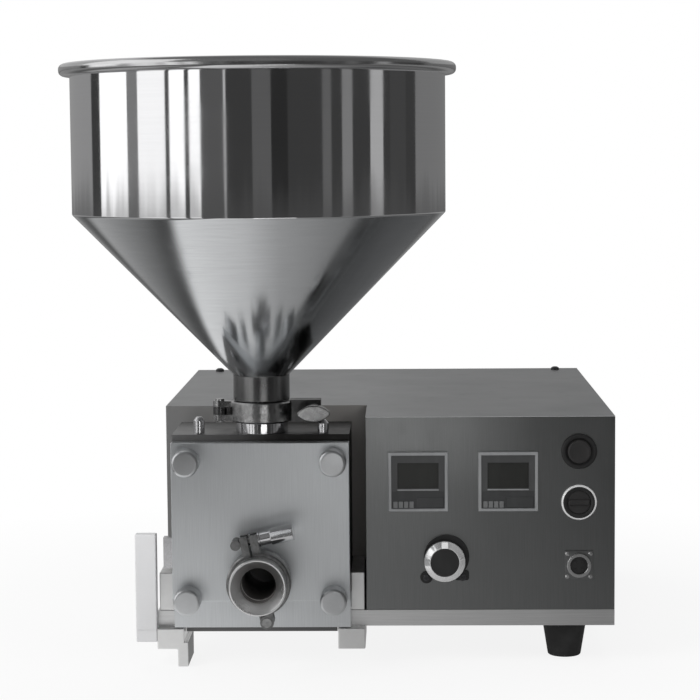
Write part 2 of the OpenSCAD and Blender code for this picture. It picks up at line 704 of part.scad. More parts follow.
module hopper_clamp_front() color(cast) hopper_clamp() clamp_half(-1, hop_pin_x, hop_bolt_x, hop_ear_h);
module hopper_clamp_back() color(cast) hopper_clamp() clamp_half(1, hop_pin_x, hop_bolt_x, hop_ear_h);
module hopper_clamp_pin() color(cast) hopper_clamp() clamp_pin(hop_pin_x);
module hopper_clamp_bolt() color(bright) hopper_clamp() clamp_bolt(hop_bolt_x, bolt_reach(hop_nut));
module hopper_clamp_washer() color(bright) hopper_clamp() clamp_washer(hop_bolt_x);
module hopper_wing_nut() color(bright) hopper_clamp() wing_nut(hop_bolt_x, hop_nut[0], hop_nut[1], 0);

module outlet_clamp_right() color(cast) outlet_clamp() clamp_half(-1, out_pin_x, out_bolt_x, out_ear_h);
module outlet_clamp_left() color(cast) outlet_clamp() clamp_half(1, out_pin_x, out_bolt_x, out_ear_h);
module outlet_clamp_pin() color(cast) outlet_clamp() clamp_pin(out_pin_x);
module outlet_clamp_bolt() color(bright) outlet_clamp() clamp_bolt(out_bolt_x, bolt_reach(out_nut));
module outlet_clamp_washer() color(bright) outlet_clamp() clamp_washer(out_bolt_x);
module outlet_wing_nut() color(bright) outlet_clamp() wing_nut(out_bolt_x, out_nut[0], out_nut[1], 90);

mouth_l = mouth_y - outlet_joint_y;
funnel_l = 9;
mouth_edge = 0.6;
mouth_step = 1;

module outlet_nozzle() color(bright) at_pump() translate([0, front_y - outlet_joint_y, outlet_z])
  rotate([90, 0, 0]) rotate_extrude() polygon([
    [throat_d / 2, gasket_t / 2], [fer_d / 2, gasket_t / 2], [fer_d / 2, gasket_t / 2 + fer_rim],
    [fer_tube_r, gasket_t / 2 + fer_rim + fer_taper], [fer_tube_r, clamp_w / 2 + gap],
    [mouth_d / 2 - mouth_step, clamp_w / 2 + 2 * gap], [mouth_d / 2, clamp_w / 2 + 2 * gap + mouth_step],
    [mouth_d / 2, mouth_l - mouth_edge], [mouth_d / 2 - mouth_edge, mouth_l],
    [mouth_d / 2 - mouth_edge - mouth_step, mouth_l], [throat_d / 2, mouth_l - funnel_l]
  ]);

// ---------------------------------------------------------------- hopper

bead_h = 10;             // height of the rolled bead under the rim, and the radius of its edges
bead_r = 3;
bead_steps = 4;
bend_in = 0.6;           // how much higher the wall's bends lie inside than outside
funnel_z = hop_joint_z + clamp_w / 2 + 2;
neck_funnel = 6;         // height over which the neck closes to the bore

module hopper() color(bright) at_pump() translate([0, hop_y, 0]) rotate_extrude() polygon(concat(
  // outside, upwards
  [
    [path_d / 2, hop_joint_z + gasket_t / 2], [fer_d / 2, hop_joint_z + gasket_t / 2],
    [fer_d / 2, hop_joint_z + gasket_t / 2 + fer_rim],
    [fer_tube_r, hop_joint_z + gasket_t / 2 + fer_rim + fer_taper],
    [fer_tube_r, hop_joint_z + clamp_w / 2 + gap], [neck_d / 2, hop_joint_z + clamp_w / 2 + 2 * gap],
    [neck_d / 2, cone_z], [hop_d / 2, seam_z], [hop_d / 2, rim_z - bead_h]
  ],
  arc(rim_d / 2 - bead_r, rim_z - bead_h + bead_r, bead_r, -90, 0, bead_steps),
  arc(rim_d / 2 - bead_r, rim_z - bead_r, bead_r, 0, 90, bead_steps),
  // inside, downwards
  [
    [hop_d / 2 - hop_t, rim_z], [hop_d / 2 - hop_t, seam_z + bend_in],
    [neck_d / 2 - hop_t, cone_z + bend_in], [neck_d / 2 - hop_t, funnel_z + neck_funnel],
    [path_d / 2, funnel_z]
  ]
));

// ---------------------------------------------------------------- drive

motor_d = 88;
motor_l = 115;
box_s = 90;
box_l = 60;
term_box = [44, 50, 18]; // the motor's terminal box
term_y = 15;             // its distance behind the gearbox
term_up = 40;            // its foot above the motor's axis
fan_l = 26;              // fan cover at the motor's rear end
fan_out = 2;             // how far it stands out round the motor
fin_n = 8;               // cooling grooves round the motor
fin_w = 3;
fin_deep = 1.6;
motor_hole = 6;          // play round the shaft inside the gearbox
shaft_stop = 2;          // wall left behind the shaft's end

module gear_motor() color([0.3, 0.32, 0.35]) at_pump() translate([pitch_r, motor_y, gear_z]) {
  difference() {
    translate([-box_s / 2, 0, -box_s / 2]) cube([box_s, box_l, box_s]);
    rod_y(shaft_d + motor_hole, -1, box_l - shaft_stop);
  }
  difference() {
    rod_y(motor_d, box_l - eps, box_l + motor_l);
    for (i = [0 : fin_n - 1]) ring_y(motor_d + 1, motor_d - 2 * fin_deep,
      box_l + fin_w + i * 2 * fin_w, box_l + 2 * fin_w + i * 2 * fin_w);
  }
  rod_y(motor_d + 2 * fan_out, box_l + motor_l - fan_l, box_l + motor_l);
  translate([-term_box[0] / 2, box_l + term_y, term_up]) cube(term_box);
}

module motor_shaft() color(bright) at_pump() translate([pitch_r, 0, gear_z])
  rod_y(shaft_d, coupling_y + coupling_l / 2 + coupling_gap, motor_y + box_l - shaft_stop - shaft_end);

module shaft_coupling() color(steel) at_pump() translate([pitch_r, 0, gear_z])
  ring_y(coupling_d, shaft_d, coupling_y, coupling_y + coupling_l);

bracket_w = 104;
bracket_t = 4;
bracket_over = 2;        // the bracket ends this far below the gearbox's top
bracket_hole = 36;

module motor_bracket() color(steel) at_pump() translate([pitch_r, 0, 0]) difference() {
  union() {
    translate([-bracket_w / 2, motor_y - bracket_t, deck_z])
      cube([bracket_w, bracket_t, gear_z + box_s / 2 - bracket_over - deck_z]);
    translate([-bracket_w / 2, motor_y - bracket_t, deck_z]) cube([bracket_w, box_l, bracket_t]);
  }
  translate([0, 0, gear_z]) rod_y(bracket_hole, motor_y - bracket_t - 1, motor_y + 1);
}

// ---------------------------------------------------------------- controls

timer_t = 4;
timer_case = 44;
timer_play = 0.5;
timer_l = 78;
window = [33.2, 20.8];
window_up = -5.2;        // the window's lower edge from the timer's middle
window_deep = 0.8;
key_field = [41.6, 14.6];
key_low = -22;
key_deep = 0.5;

module timers() color(black) for (x = timer_x) on_panel(x, timer_z) difference() {
  union() {
    translate([-timer_s / 2, -timer_s / 2, 0]) cube([timer_s, timer_s, timer_t]);
    translate([-timer_case / 2, -timer_case / 2, -timer_l]) cube([timer_case, timer_case, timer_l + eps]);
  }
  // window and key field are sunk into the bezel
  translate([-window[0] / 2, window_up, timer_t - window_deep]) cube([window[0], window[1], 1]);
  translate([-key_field[0] / 2, key_low, timer_t - key_deep]) cube([key_field[0], key_field[1], 1]);
}

dial_hole = 10;
plate_d = 40;
plate_t = 1.5;
plate_lobe = [21, 4.5];  // distance and radius of its two screw lobes
plate_lobe_a = 42;       // their angle from straight down

module dial_plate() color(black) on_panel(dial_x, dial_z) difference() {
  linear_extrude(plate_t) {
    circle(d = plate_d);
    for (s = [-1, 1]) translate(polar(plate_lobe[0], 270 + s * plate_lobe_a)) circle(r = plate_lobe[1]);
  }
  translate([0, 0, -1]) cylinder(d = dial_hole, h = plate_t + 2);
}

pot_d = 24;
pot_l = 21;
pot_neck_d = 9.6;
pot_neck_l = 4;
pot_nut = [14, 2];
pot_shaft_d = 6;
pot_tabs = [18, 8, 6];
pot_tabs_in = 1;         // the solder tabs' root inside the round case
pot_base = 3;            // metal left behind the spindle's end
knob_off = 5;            // the speed knob's skirt above the panel
skirt_foot = 2.5;        // straight foot of the chromed skirt
knob_top_wall = 4;

module speed_pot() color(cast) on_panel(dial_x, dial_z) {
  difference() {
    union() {
      translate([0, 0, -sheet - pot_l]) cylinder(d = pot_d, h = pot_l);
      translate([0, 0, -sheet - eps]) cylinder(d = pot_neck_d, h = sheet + pot_neck_l);
      translate([0, 0, plate_t]) cylinder(d = pot_nut[0], h = pot_nut[1]);
    }
    translate([0, 0, pot_base - 1 - sheet - pot_l])
      cylinder(d = pot_shaft_d + 2 * run_fit, h = pot_l + dial_h);
  }
  translate([-pot_tabs[0] / 2, pot_tabs_in - pot_d / 2 - pot_tabs[1], -sheet - pot_l / 2 - pot_tabs[2] / 2])
    cube(pot_tabs);
}

module pot_shaft() color(bright) on_panel(dial_x, dial_z) translate([0, 0, pot_base - sheet - pot_l])
  cylinder(d = pot_shaft_d, h = pot_l - pot_base + sheet + dial_h - knob_top_wall);

dial_face = 23;
skirt_in = 4.6;          // the skirt's cone narrows by this much all round, at 45 degrees
grip_in = 0.4;           // the grip stands this far inside the top of the cone
mark = [1.2, 8];         // pointer line cut in the knob's face
mark_deep = 0.8;

module speed_knob() color(black) on_panel(dial_x, dial_z) difference() {
  rotate_extrude() polygon([
    [0, knob_off], [dial_d / 2, knob_off], [dial_d / 2, knob_off + skirt_foot],
    [dial_d / 2 - skirt_in, knob_off + skirt_foot + skirt_in],
    [dial_d / 2 - skirt_in - grip_in, knob_off + skirt_foot + skirt_in],
    [dial_face / 2, dial_h], [0, dial_h]
  ]);
  translate([0, 0, knob_off - 1]) cylinder(d = pot_shaft_d, h = dial_h - knob_off + 1 - knob_top_wall);
  translate([-mark[0] / 2, dial_face / 2 - mark[1] - 0.5, dial_h - mark_deep]) cube([mark[0], mark[1], 1]);
}

bezel_t = 2.6;
bezel_edge = 1.4;        // height of the chamfer round a bezel
bezel_in = 1.6;          // wall of the bezel round its cap
dish_out = 0.2;
dish_deep = 0.8;
barrel_l = 24;
barrel_floor = 4;
fix_nut_h = 4;
switch_box = [30, 30, 20];
cap_d = hole_d - 2 * bezel_in;
cap_l = 12;              // length of a cap inside its barrel

module panel_bezel() {
  rotate_extrude() polygon([[cap_d / 2, 0], [bezel_d / 2, 0], [bezel_d / 2, bezel_t - bezel_edge],
    [bezel_d / 2 - bezel_edge, bezel_t], [hole_d / 2 - dish_out, bezel_t], [cap_d / 2, bezel_t - dish_deep]]);
  translate([0, 0, -barrel_l]) difference() {
    cylinder(d = hole_d - gap, h = barrel_l + eps);
    translate([0, 0, barrel_floor]) cylinder(d = cap_d, h = barrel_l);
  }
  // fixing nut behind the panel
  translate([0, 0, -sheet - fix_nut_h]) difference() {
    cylinder(d = bezel_d + 1, h = fix_nut_h);
    translate([0, 0, -1]) cylinder(d = hole_d - gap, h = fix_nut_h + 2);
  }
  translate([-switch_box[0] / 2, -switch_box[1] / 2, -barrel_l - switch_box[2]])
    cube([switch_box[0], switch_box[1], switch_box[2] + eps]);
}

handle_out = 1.2;        // the turning cap above the panel, and the grip bar across it
grip = [17.2, 4.4, 1.6];
cap_out = 1.5;           // height of the start cap when it is pressed home

module mode_switch() color(bright) on_panel(col_x, mode_z) panel_bezel();
module mode_switch_handle() color(black) on_panel(col_x, mode_z) {
  translate([0, 0, -cap_l]) cylinder(d = cap_d - 2 * run_fit, h = cap_l + handle_out);
  translate([-grip[0] / 2, -grip[1] / 2, handle_out - eps]) cube(grip);
}
module start_button_body() color(black) on_panel(col_x, start_z) panel_bezel();
module start_button_cap() color(cast) on_panel(col_x, start_z)
  translate([0, 0, -cap_l]) cylinder(d = cap_d - 2 * run_fit, h = cap_l + cap_out + start_travel);

socket_d = 18;
socket_ring = [19, 5];
socket_bore = 15;
socket_plate = [23, 1.6];
socket_l = 22;
socket_deep = 10;
socket_pin = [2, 8];
socket_pin_r = 4;
socket_screw_x = 9.2;
socket_screw = [3.8, 1.2];

module pedal_socket() color(bright) on_panel(col_x, socket_z) {
  difference() {
    union() {
      linear_extrude(socket_plate[1]) square(socket_plate[0], center = true);
      cylinder(d = socket_ring[0], h = socket_ring[1]);
      translate([0, 0, -socket_l]) cylinder(d = socket_d, h = socket_l + eps);
    }
    translate([0, 0, -socket_deep]) cylinder(d = socket_bore, h = socket_deep + socket_ring[1] + 1);
  }
  for (a = [45 : 90 : 315]) translate(concat(polar(socket_pin_r, a), [-socket_deep - eps]))
    cylinder(d = socket_pin[0], h = socket_pin[1]);
  for (x = [-1, 1], z = [-1, 1]) translate([x * socket_screw_x, z * socket_screw_x, socket_plate[1] - eps])
    pan_head(socket_screw[0], socket_screw[1]);
}

board = [130, 100, 1.6];
board_y = 150;
board_up = 8;
board_post_d = 6;
board_post_in = 6;
board_from_side = 35;    // the board's right edge from the cabinet's side
board_parts = [          // place on the board and size: transformer, relays, terminals
  [10, 15, 40, 35, 32], [70, 20, 45, 15, 25], [70, 60, 45, 25, 16]
];

module control_board() color([0.1, 0.35, 0.2]) placed()
  translate([cab_r - board_from_side - board[0], board_y, deck_z]) {
    translate([0, 0, board_up]) cube(board);
    for (x = [board_post_in, board[0] - board_post_in], y = [board_post_in, board[1] - board_post_in])
      translate([x, y, 0]) cylinder(d = board_post_d, h = board_up + eps);
    for (b = board_parts) translate([b[0], b[1], board_up + board[2] - eps]) cube([b[2], b[3], b[4]]);
  }

inlet_plate = [50, 23];
inlet_l = 24;
inlet_wall = 1.8;
inlet_deep = 18;
inlet_pin = [2, 4, 12];
inlet_pin_x = 7;
inlet_earth_up = 3;      // the middle pin stands higher than the outer two

module power_inlet() color(black) placed() translate([inlet_x, cab_d, inlet_z]) rotate([-90, 0, 0]) {
  difference() {
    union() {
      linear_extrude(inlet_proud) square(inlet_plate, center = true);
      translate([0, 0, -inlet_l]) linear_extrude(inlet_l + eps) square(inlet_case, center = true);
    }
    translate([inlet_wall - inlet_case[0] / 2, inlet_wall - inlet_case[1] / 2, -inlet_deep])
      cube([inlet_case[0] - 2 * inlet_wall, inlet_case[1] - 2 * inlet_wall, inlet_deep + inlet_proud + 1]);
  }
  for (i = [-1 : 1]) translate([i * inlet_pin_x - inlet_pin[0] / 2,
    (i == 0 ? -inlet_earth_up : 0) - inlet_pin[1] / 2, -inlet_deep - eps]) cube(inlet_pin);
}

base_pan();
housing_cover();
control_panel();
rear_panel();
cabinet_screws();
rubber_feet();
pump_cradle();
stand_rails();
side_post();
pump_body();
pump_cover();
cover_gasket();
drive_shaft();
drive_gear();
idler_shaft();
driven_gear();
shaft_bushes();
shaft_seal();
cover_studs();
cover_knob_1();
cover_knob_2();
cover_knob_3();
cover_knob_4();
knob_washer_1();
knob_washer_2();
knob_washer_3();
knob_washer_4();
body_fittings();
inlet_ferrule();
ferrule_gaskets();
hopper();
hopper_clamp_front();
hopper_clamp_back();
hopper_clamp_pin();
hopper_clamp_bolt();
hopper_clamp_washer();
hopper_wing_nut();
outlet_nozzle();
outlet_clamp_right();
outlet_clamp_left();
outlet_clamp_pin();
outlet_clamp_bolt();
outlet_clamp_washer();
outlet_wing_nut();
gear_motor();
motor_shaft();
motor_bracket();
shaft_coupling();
timers();
dial_plate();
speed_knob();
pot_shaft();
speed_pot();
mode_switch();
mode_switch_handle();
start_button_body();
start_button_cap();
pedal_socket();
control_board();
power_inlet();
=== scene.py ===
import json
import math
import bmesh
import bpy
from mathutils import Matrix, Vector


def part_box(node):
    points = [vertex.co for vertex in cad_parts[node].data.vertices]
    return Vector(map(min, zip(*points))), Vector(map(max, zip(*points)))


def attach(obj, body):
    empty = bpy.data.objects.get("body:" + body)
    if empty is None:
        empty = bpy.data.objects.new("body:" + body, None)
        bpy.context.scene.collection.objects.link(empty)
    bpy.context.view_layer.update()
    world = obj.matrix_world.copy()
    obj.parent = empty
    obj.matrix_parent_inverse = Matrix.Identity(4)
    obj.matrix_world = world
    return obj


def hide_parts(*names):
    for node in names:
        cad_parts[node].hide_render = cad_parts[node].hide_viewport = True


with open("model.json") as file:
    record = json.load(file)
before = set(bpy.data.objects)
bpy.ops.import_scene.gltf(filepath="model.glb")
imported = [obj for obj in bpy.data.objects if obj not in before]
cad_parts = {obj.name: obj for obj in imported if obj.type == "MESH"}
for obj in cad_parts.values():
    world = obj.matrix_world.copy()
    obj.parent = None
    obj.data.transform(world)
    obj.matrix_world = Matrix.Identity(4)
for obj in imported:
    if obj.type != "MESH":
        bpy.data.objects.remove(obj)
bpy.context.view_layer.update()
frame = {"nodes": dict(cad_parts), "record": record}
nodes = frame["nodes"]
bodyOf = {name: body for body, names in frame["record"]["behaviour"]["bodies"].items() for name in names}
slotOf = {row["node"]: row["material_slot"] for row in frame["record"]["subparts"]}
mm = 0.001
weld = 0.002 * mm  # points nearer than this are merged


def middle(node):
    low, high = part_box(node)
    return (low + high) / 2


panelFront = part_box("control_panel")[0].y
outletAxis = middle("outlet_nozzle")
hopperAxis = middle("hopper")
hopperAxis.z = 0
print("frame loaded,", len(nodes), "nodes")

# shader helpers

usual = (0.3, 0.7)  # between these lie nearly all values of a noise


def grey(level):
    return (level, level, level)


def startSurface(name, color, metallic, roughness):
    mat = bpy.data.materials.new(name)
    mat.use_nodes = True
    shader = mat.node_tree.nodes["Principled BSDF"]
    shader.inputs["Base Color"].default_value = (*color, 1)
    shader.inputs["Metallic"].default_value = metallic
    shader.inputs["Roughness"].default_value = roughness
    coords = mat.node_tree.nodes.new("ShaderNodeTexCoord")
    return mat, mat.node_tree, shader, coords.outputs["Object"]


def stretched(tree, vector, stretch):
    node = tree.nodes.new("ShaderNodeMapping")
    node.inputs["Scale"].default_value = stretch
    tree.links.new(vector, node.inputs["Vector"])
    return node.outputs["Vector"]


def centred(tree, vector, centre):
    node = tree.nodes.new("ShaderNodeMapping")
    node.vector_type = "TEXTURE"
    node.inputs["Location"].default_value = centre
    tree.links.new(vector, node.inputs["Vector"])
    return node.outputs["Vector"]


def partsOf(tree, vector):
    node = tree.nodes.new("ShaderNodeSeparateXYZ")
    tree.links.new(vector, node.inputs[0])
    return node.outputs


def noiseOf(tree, vector, scale, detail, rough=0.5):
    node = tree.nodes.new("ShaderNodeTexNoise")
    node.inputs["Scale"].default_value = scale
    node.inputs["Detail"].default_value = detail
    node.inputs["Roughness"].default_value = rough
    tree.links.new(vector, node.inputs["Vector"])
    return node.outputs["Fac"]


def rampOf(tree, factor, stops, blend="LINEAR"):
    node = tree.nodes.new("ShaderNodeValToRGB")
    ramp = node.color_ramp
    ramp.interpolation = blend
    while len(ramp.elements) < len(stops):
        ramp.elements.new(0.5)
    for element, (position, value) in zip(ramp.elements, stops):
        element.position = position
    for element, (position, value) in zip(ramp.elements, stops):
        element.color = (*value, 1) if isinstance(value, tuple) else (*grey(value), 1)
    tree.links.new(factor, node.inputs["Fac"])
    return node.outputs["Color"]


def rangeOf(tree, value, source, target=(0, 1)):
    node = tree.nodes.new("ShaderNodeMapRange")
    for socket, number in zip(("From Min", "From Max", "To Min", "To Max"), (*source, *target)):
        node.inputs[socket].default_value = number
    tree.links.new(value, node.inputs["Value"])
    return node.outputs["Result"]


def mathOf(tree, operation, a, b):
    node = tree.nodes.new("ShaderNodeMath")
    node.operation = operation
    for socket, value in zip(node.inputs, (a, b)):
        if isinstance(value, (int, float)):
            socket.default_value = value
        else:
            tree.links.new(value, socket)
    return node.outputs[0]


def mixOf(tree, factor, a, b):
    node = tree.nodes.new("ShaderNodeMix")
    node.data_type = "RGBA"
    for socket, value in ((node.inputs[0], factor), (node.inputs[6], a), (node.inputs[7], b)):
        if isinstance(value, tuple):
            socket.default_value = (*value, 1)
        else:
            tree.links.new(value, socket)
    return node.outputs[2]


def bumpOf(tree, shader, height, distance, strength, below=None):
    node = tree.nodes.new("ShaderNodeBump")
    node.inputs["Strength"].default_value = strength
    node.inputs["Distance"].default_value = distance
    tree.links.new(height, node.inputs["Height"])
    if below is not None:
        tree.links.new(below, node.inputs["Normal"])
    tree.links.new(node.outputs["Normal"], shader.inputs["Normal"])
    return node.outputs["Normal"]


def blendOf(tree, factor, a, b):
    node = tree.nodes.new("ShaderNodeMixShader")
    for socket, source in zip(node.inputs, (factor, a, b)):
        tree.links.new(source, socket)
    return node.outputs[0]


def mirrorRays(tree, path):  # 1 for a mirrored ray and for one that passed through something
    return mathOf(tree, "MAXIMUM", path.outputs["Is Glossy Ray"], path.outputs["Is Transmission Ray"])


# camera

camera = dict(place=(0.04953, -1.79579, 0.41674), yaw=1.38444, pitch=5.448815, roll=-0.45, lens=108.4,
              sensor=36)


def makeCamera():
    yaw, pitch, roll = (math.radians(camera[k]) for k in ("yaw", "pitch", "roll"))
    ahead = Vector((-math.sin(yaw) * math.cos(pitch), math.cos(yaw) * math.cos(pitch), -math.sin(pitch)))
    right = Vector((math.cos(yaw), math.sin(yaw), 0))
    up = right.cross(ahead)
    across = math.cos(roll) * right + math.sin(roll) * up
    upright = math.cos(roll) * up - math.sin(roll) * right
    turn = Matrix((across, upright, -ahead)).transposed().to_4x4()
    data = bpy.data.cameras.new("camera")
    data.lens = camera["lens"]
    data.sensor_width = camera["sensor"]
    obj = bpy.data.objects.new("camera", data)
    bpy.context.scene.collection.objects.link(obj)
    obj.matrix_world = Matrix.Translation(camera["place"]) @ turn
    bpy.context.scene.camera = obj


# what polished metal sees: softboxes round a dark studio, low ones round the horizon and tall ones above
# them. Each runs from one azimuth to another, in degrees from the camera's side, positive to the right, and
# has a brightness
softboxes = [
    (-180, -117, 0.3), (-108, -82, 1.35), (-82, -74, 0.22), (-74, -54, 1.15), (-52, -41, 1.35),
    (-38, -32, 1.3), (-32, -18, 0.1), (-18, -16, 0.5), (0, 10, 0.11), (10, 20, 0.026), (42, 47, 0.13),
    (54, 61, 0.22), (74, 84, 0.43), (90, 103, 0.06), (113, 180, 0.19)]
tallBoxes = [(-180, -116, 0.55), (-116, -48, 1.15), (-48, 20, 0.19), (20, 120, 0.13), (120, 180, 0.4)]
# heights run from 0, straight down, over 0.5, the horizon, to 1, straight up. The boxes stand from 20 degrees
# below the horizon to 50 above it, with a dull strip along the feet of the low ones
room = dict(
    wall=0.047, ceiling=0.16, floor=0.08, ambient=0.42, background=1.0, waves=9, uneven=0.004,
    tallFrom=(0.55, 0.565), wallHeights=(0.49, 0.6),
    boxes=[(0.3, 0), (0.36, 1), (0.466, 1), (0.474, 0.3), (0.485, 0.4), (0.492, 1), (0.86, 1), (0.92, 0)])


def ringOf(tree, turn, boxes):
    stops = [(0, room["wall"])]
    for start, end, level in boxes:
        first, last = (start + 180) / 360, (end + 180) / 360
        if math.isclose(stops[-1][0], first, abs_tol=0.001):
            stops.pop()
        stops += [(first, level), (last, room["wall"])]
    return rampOf(tree, turn, stops[:-1], "CONSTANT")


def makeWorld():
    world = bpy.data.worlds.new("studio")
    bpy.context.scene.world = world
    world.use_nodes = True
    world.cycles.sampling_method = "NONE"
    tree = world.node_tree
    tree.nodes.clear()
    coords = tree.nodes.new("ShaderNodeTexCoord").outputs["Generated"]
    parts = partsOf(tree, coords)
    azimuth = mathOf(tree, "ARCTAN2", parts["X"], mathOf(tree, "MULTIPLY", parts["Y"], -1.0))
    turn = rangeOf(tree, azimuth, (-math.pi, math.pi))
    wave = rangeOf(tree, noiseOf(tree, coords, room["waves"], 2), usual, (-room["uneven"], room["uneven"]))
    height = mathOf(tree, "ADD", rangeOf(tree, parts["Z"], (-1, 1)), wave)
    low, tall = (ringOf(tree, turn, boxes) for boxes in (softboxes, tallBoxes))
    around = mixOf(tree, rangeOf(tree, height, room["tallFrom"]), low, tall)
    behind = rampOf(tree, height, list(zip(room["wallHeights"], (room["floor"], room["ceiling"]))))
    seen = mixOf(tree, rampOf(tree, height, room["boxes"]), behind, around)
    layers = []
    for color in (room["ambient"], seen, room["background"]):
        layer = tree.nodes.new("ShaderNodeBackground")
        if isinstance(color, float):
            layer.inputs["Color"].default_value = (*grey(color), 1)
        else:
            tree.links.new(color, layer.inputs["Color"])
        layers.append(layer.outputs[0])
    path = tree.nodes.new("ShaderNodeLightPath")
    first = blendOf(tree, mirrorRays(tree, path), layers[0], layers[1])
    last = blendOf(tree, path.outputs["Is Camera Ray"], first, layers[2])
    tree.links.new(last, tree.nodes.new("ShaderNodeOutputWorld").inputs["Surface"])


# floor: pale paper that fades to white away from the object. Polished metal sees it bright on the left,
# duller to the right, and dark past the table's left edge

ground = dict(
    front=0.75, back=4.0, side=4.0, color=0.8, rough=0.95, sheen=0.1, shadeFrom=0.35, shadeTo=0.7, white=0.86,
    span=(-0.6, 0.6), reach=(0, 2),
    across=[(0.02, 0.5), (0.17, 0.22), (0.215, 0.1), (0.24, 0.09), (0.262, 1.0), (0.42, 0.72), (0.5, 0.45),
            (0.62, 0.3), (0.8, 0.18)],
    away=[(0.36, 0), (0.46, 1)], far=[(0.4, 0.07), (0.85, 0.3)])


def makeFloor():
    g = ground
    bm = bmesh.new()
    bmesh.ops.create_grid(bm, x_segments=1, y_segments=1, size=1)
    bmesh.ops.scale(bm, vec=(g["side"], (g["front"] + g["back"]) / 2, 1), verts=bm.verts)
    bmesh.ops.translate(bm, vec=(0, (g["back"] - g["front"]) / 2, 0), verts=bm.verts)
    mesh = bpy.data.meshes.new("floor")
    bm.to_mesh(mesh)
    bm.free()
    floor = bpy.data.objects.new("floor", mesh)
    bpy.context.scene.collection.objects.link(floor)
    mat, tree, shader, place = startSurface("paper floor", grey(g["color"]), 0.0, g["rough"])
    shader.inputs["Specular IOR Level"].default_value = g["sheen"]
    length = tree.nodes.new("ShaderNodeVectorMath")
    length.operation = "LENGTH"
    tree.links.new(place, length.inputs[0])
    distance = length.outputs["Value"]
    across = rampOf(tree, rangeOf(tree, partsOf(tree, place)["X"], g["span"]), g["across"])
    away, far = (rampOf(tree, rangeOf(tree, distance, g["reach"]), g[k]) for k in ("away", "far"))
    path = tree.nodes.new("ShaderNodeLightPath")
    glow = tree.nodes.new("ShaderNodeEmission")
    mirrored = mixOf(tree, away, across, far)
    tree.links.new(mixOf(tree, path.outputs["Is Camera Ray"], mirrored, grey(1.0)), glow.inputs["Color"])
    fade = rangeOf(tree, distance, (g["shadeFrom"], g["shadeTo"]), (g["white"], 1))
    shown = mathOf(tree, "MULTIPLY", path.outputs["Is Camera Ray"], fade)
    glowing = mathOf(tree, "MAXIMUM", shown, mirrorRays(tree, path))
    mixed = blendOf(tree, glowing, shader.outputs[0], glow.outputs[0])
    tree.links.new(mixed, tree.nodes["Material Output"].inputs["Surface"])
    mesh.materials.append(mat)


# lamps: soft squares of light, and a low strip that only shows as a sheen on the control panel

lamps = dict(
    keyLamp=dict(place=(-1.6, -1.3, 1.5), target=(0, -0.05, 0.2), size=(1.2, 1.2), watts=26),
    fillLamp=dict(place=(1.7, -1.2, 1.1), target=(0, 0, 0.2), size=(1.4, 1.2), watts=9),
    topLamp=dict(place=(-0.2, 0.2, 2.0), target=(0, 0, 0.2), size=(1.6, 1.6), watts=14),
    frontPanel=dict(place=(0.04, -0.56, 0.137), target=(0.05, -0.11, 0.19), size=(0.2, 0.03), watts=0.06,
                    shiny=True))


def makeLamp(name, place, target, size, watts, shiny=False):  # only a shiny lamp is mirrored in metal
    data = bpy.data.lights.new(name, "AREA")
    data.shape = "RECTANGLE"
    data.size, data.size_y = size
    data.energy = watts
    obj = bpy.data.objects.new(name, data)
    bpy.context.scene.collection.objects.link(obj)
    aim = (Vector(target) - Vector(place)).to_track_quat("-Z", "Y")
    obj.matrix_world = Matrix.Translation(place) @ aim.to_matrix().to_4x4()
    obj.visible_camera = False
    obj.visible_glossy = shiny


bpy.context.scene.view_settings.view_transform = "Standard"
makeCamera()
makeWorld()
makeFloor()
for name, lamp in lamps.items():
    makeLamp(name, **lamp)
print("camera, floor and light made")

# finishes


def polishedSteel(name, color, rough, lines, wave, centre=(0, 0, 0), scale=1.0):
    # fine turning lines, a faint haze, a slow wave of the sheet
    mat, tree, shader, obj = startSurface(name, color, 1.0, rough)
    obj = centred(tree, obj, centre)
    haze = noiseOf(tree, obj, 14 / scale, 4, 0.6)
    turning = noiseOf(tree, stretched(tree, obj, (1, 1, lines)), 3, 2)
    slow = noiseOf(tree, stretched(tree, obj, (1, 1, 0.5)), 7 / scale, 1, 0.3)
    tint = mixOf(tree, rangeOf(tree, turning, usual), tuple(c * 0.98 for c in color), color)
    tree.links.new(tint, shader.inputs["Base Color"])
    tree.links.new(rangeOf(tree, haze, (0.35, 0.75), (rough, rough + 0.07)), shader.inputs["Roughness"])
    waved = bumpOf(tree, shader, slow, wave, 1.0)
    bumpOf(tree, shader, turning, 0.000001, 0.5, waved)
    return mat


# how each grain is drawn, as the stretch of its noise along x, y and z: its lines run across the largest
grains = dict(sheet=(0.6, 1, 60), panel=(50, 1, 1), pan=(1, 1, 60), plate=(60, 1, 1), bar=(1, 60, 1),
              fold=(1, 60, 60), turned=(1, 1, 30), shaft=(1, 80, 1), even=(1, 1, 1))


def satinSteel(name, color, rough, grain, scale, depth, patches, metallic=1.0):
    # grain drawn out along one direction, soft patches, dulled spots
    mat, tree, shader, obj = startSurface(name, color, metallic, rough)
    drawn = noiseOf(tree, stretched(tree, obj, grains[grain]), scale, 4, 0.65)
    cloud = noiseOf(tree, obj, 9, 3, 0.55)
    spots = noiseOf(tree, obj, 60, 2)
    tone = mathOf(tree, "ADD", mathOf(tree, "MULTIPLY", drawn, 0.6), mathOf(tree, "MULTIPLY", cloud, 0.4))
    dark = tuple(c * (1 - patches * 1.5) for c in color)
    pale = tuple(min(1, c * (1 + patches)) for c in color)
    tree.links.new(rampOf(tree, tone, [(0.35, dark), (0.65, pale)]), shader.inputs["Base Color"])
    wear = mathOf(tree, "ADD", rangeOf(tree, cloud, usual, (rough - 0.05, rough + 0.06)),
                  rangeOf(tree, spots, (0.6, 0.8), (0, 0.05)))
    tree.links.new(wear, shader.inputs["Roughness"])
    bumpOf(tree, shader, drawn, depth, 0.7)
    return mat


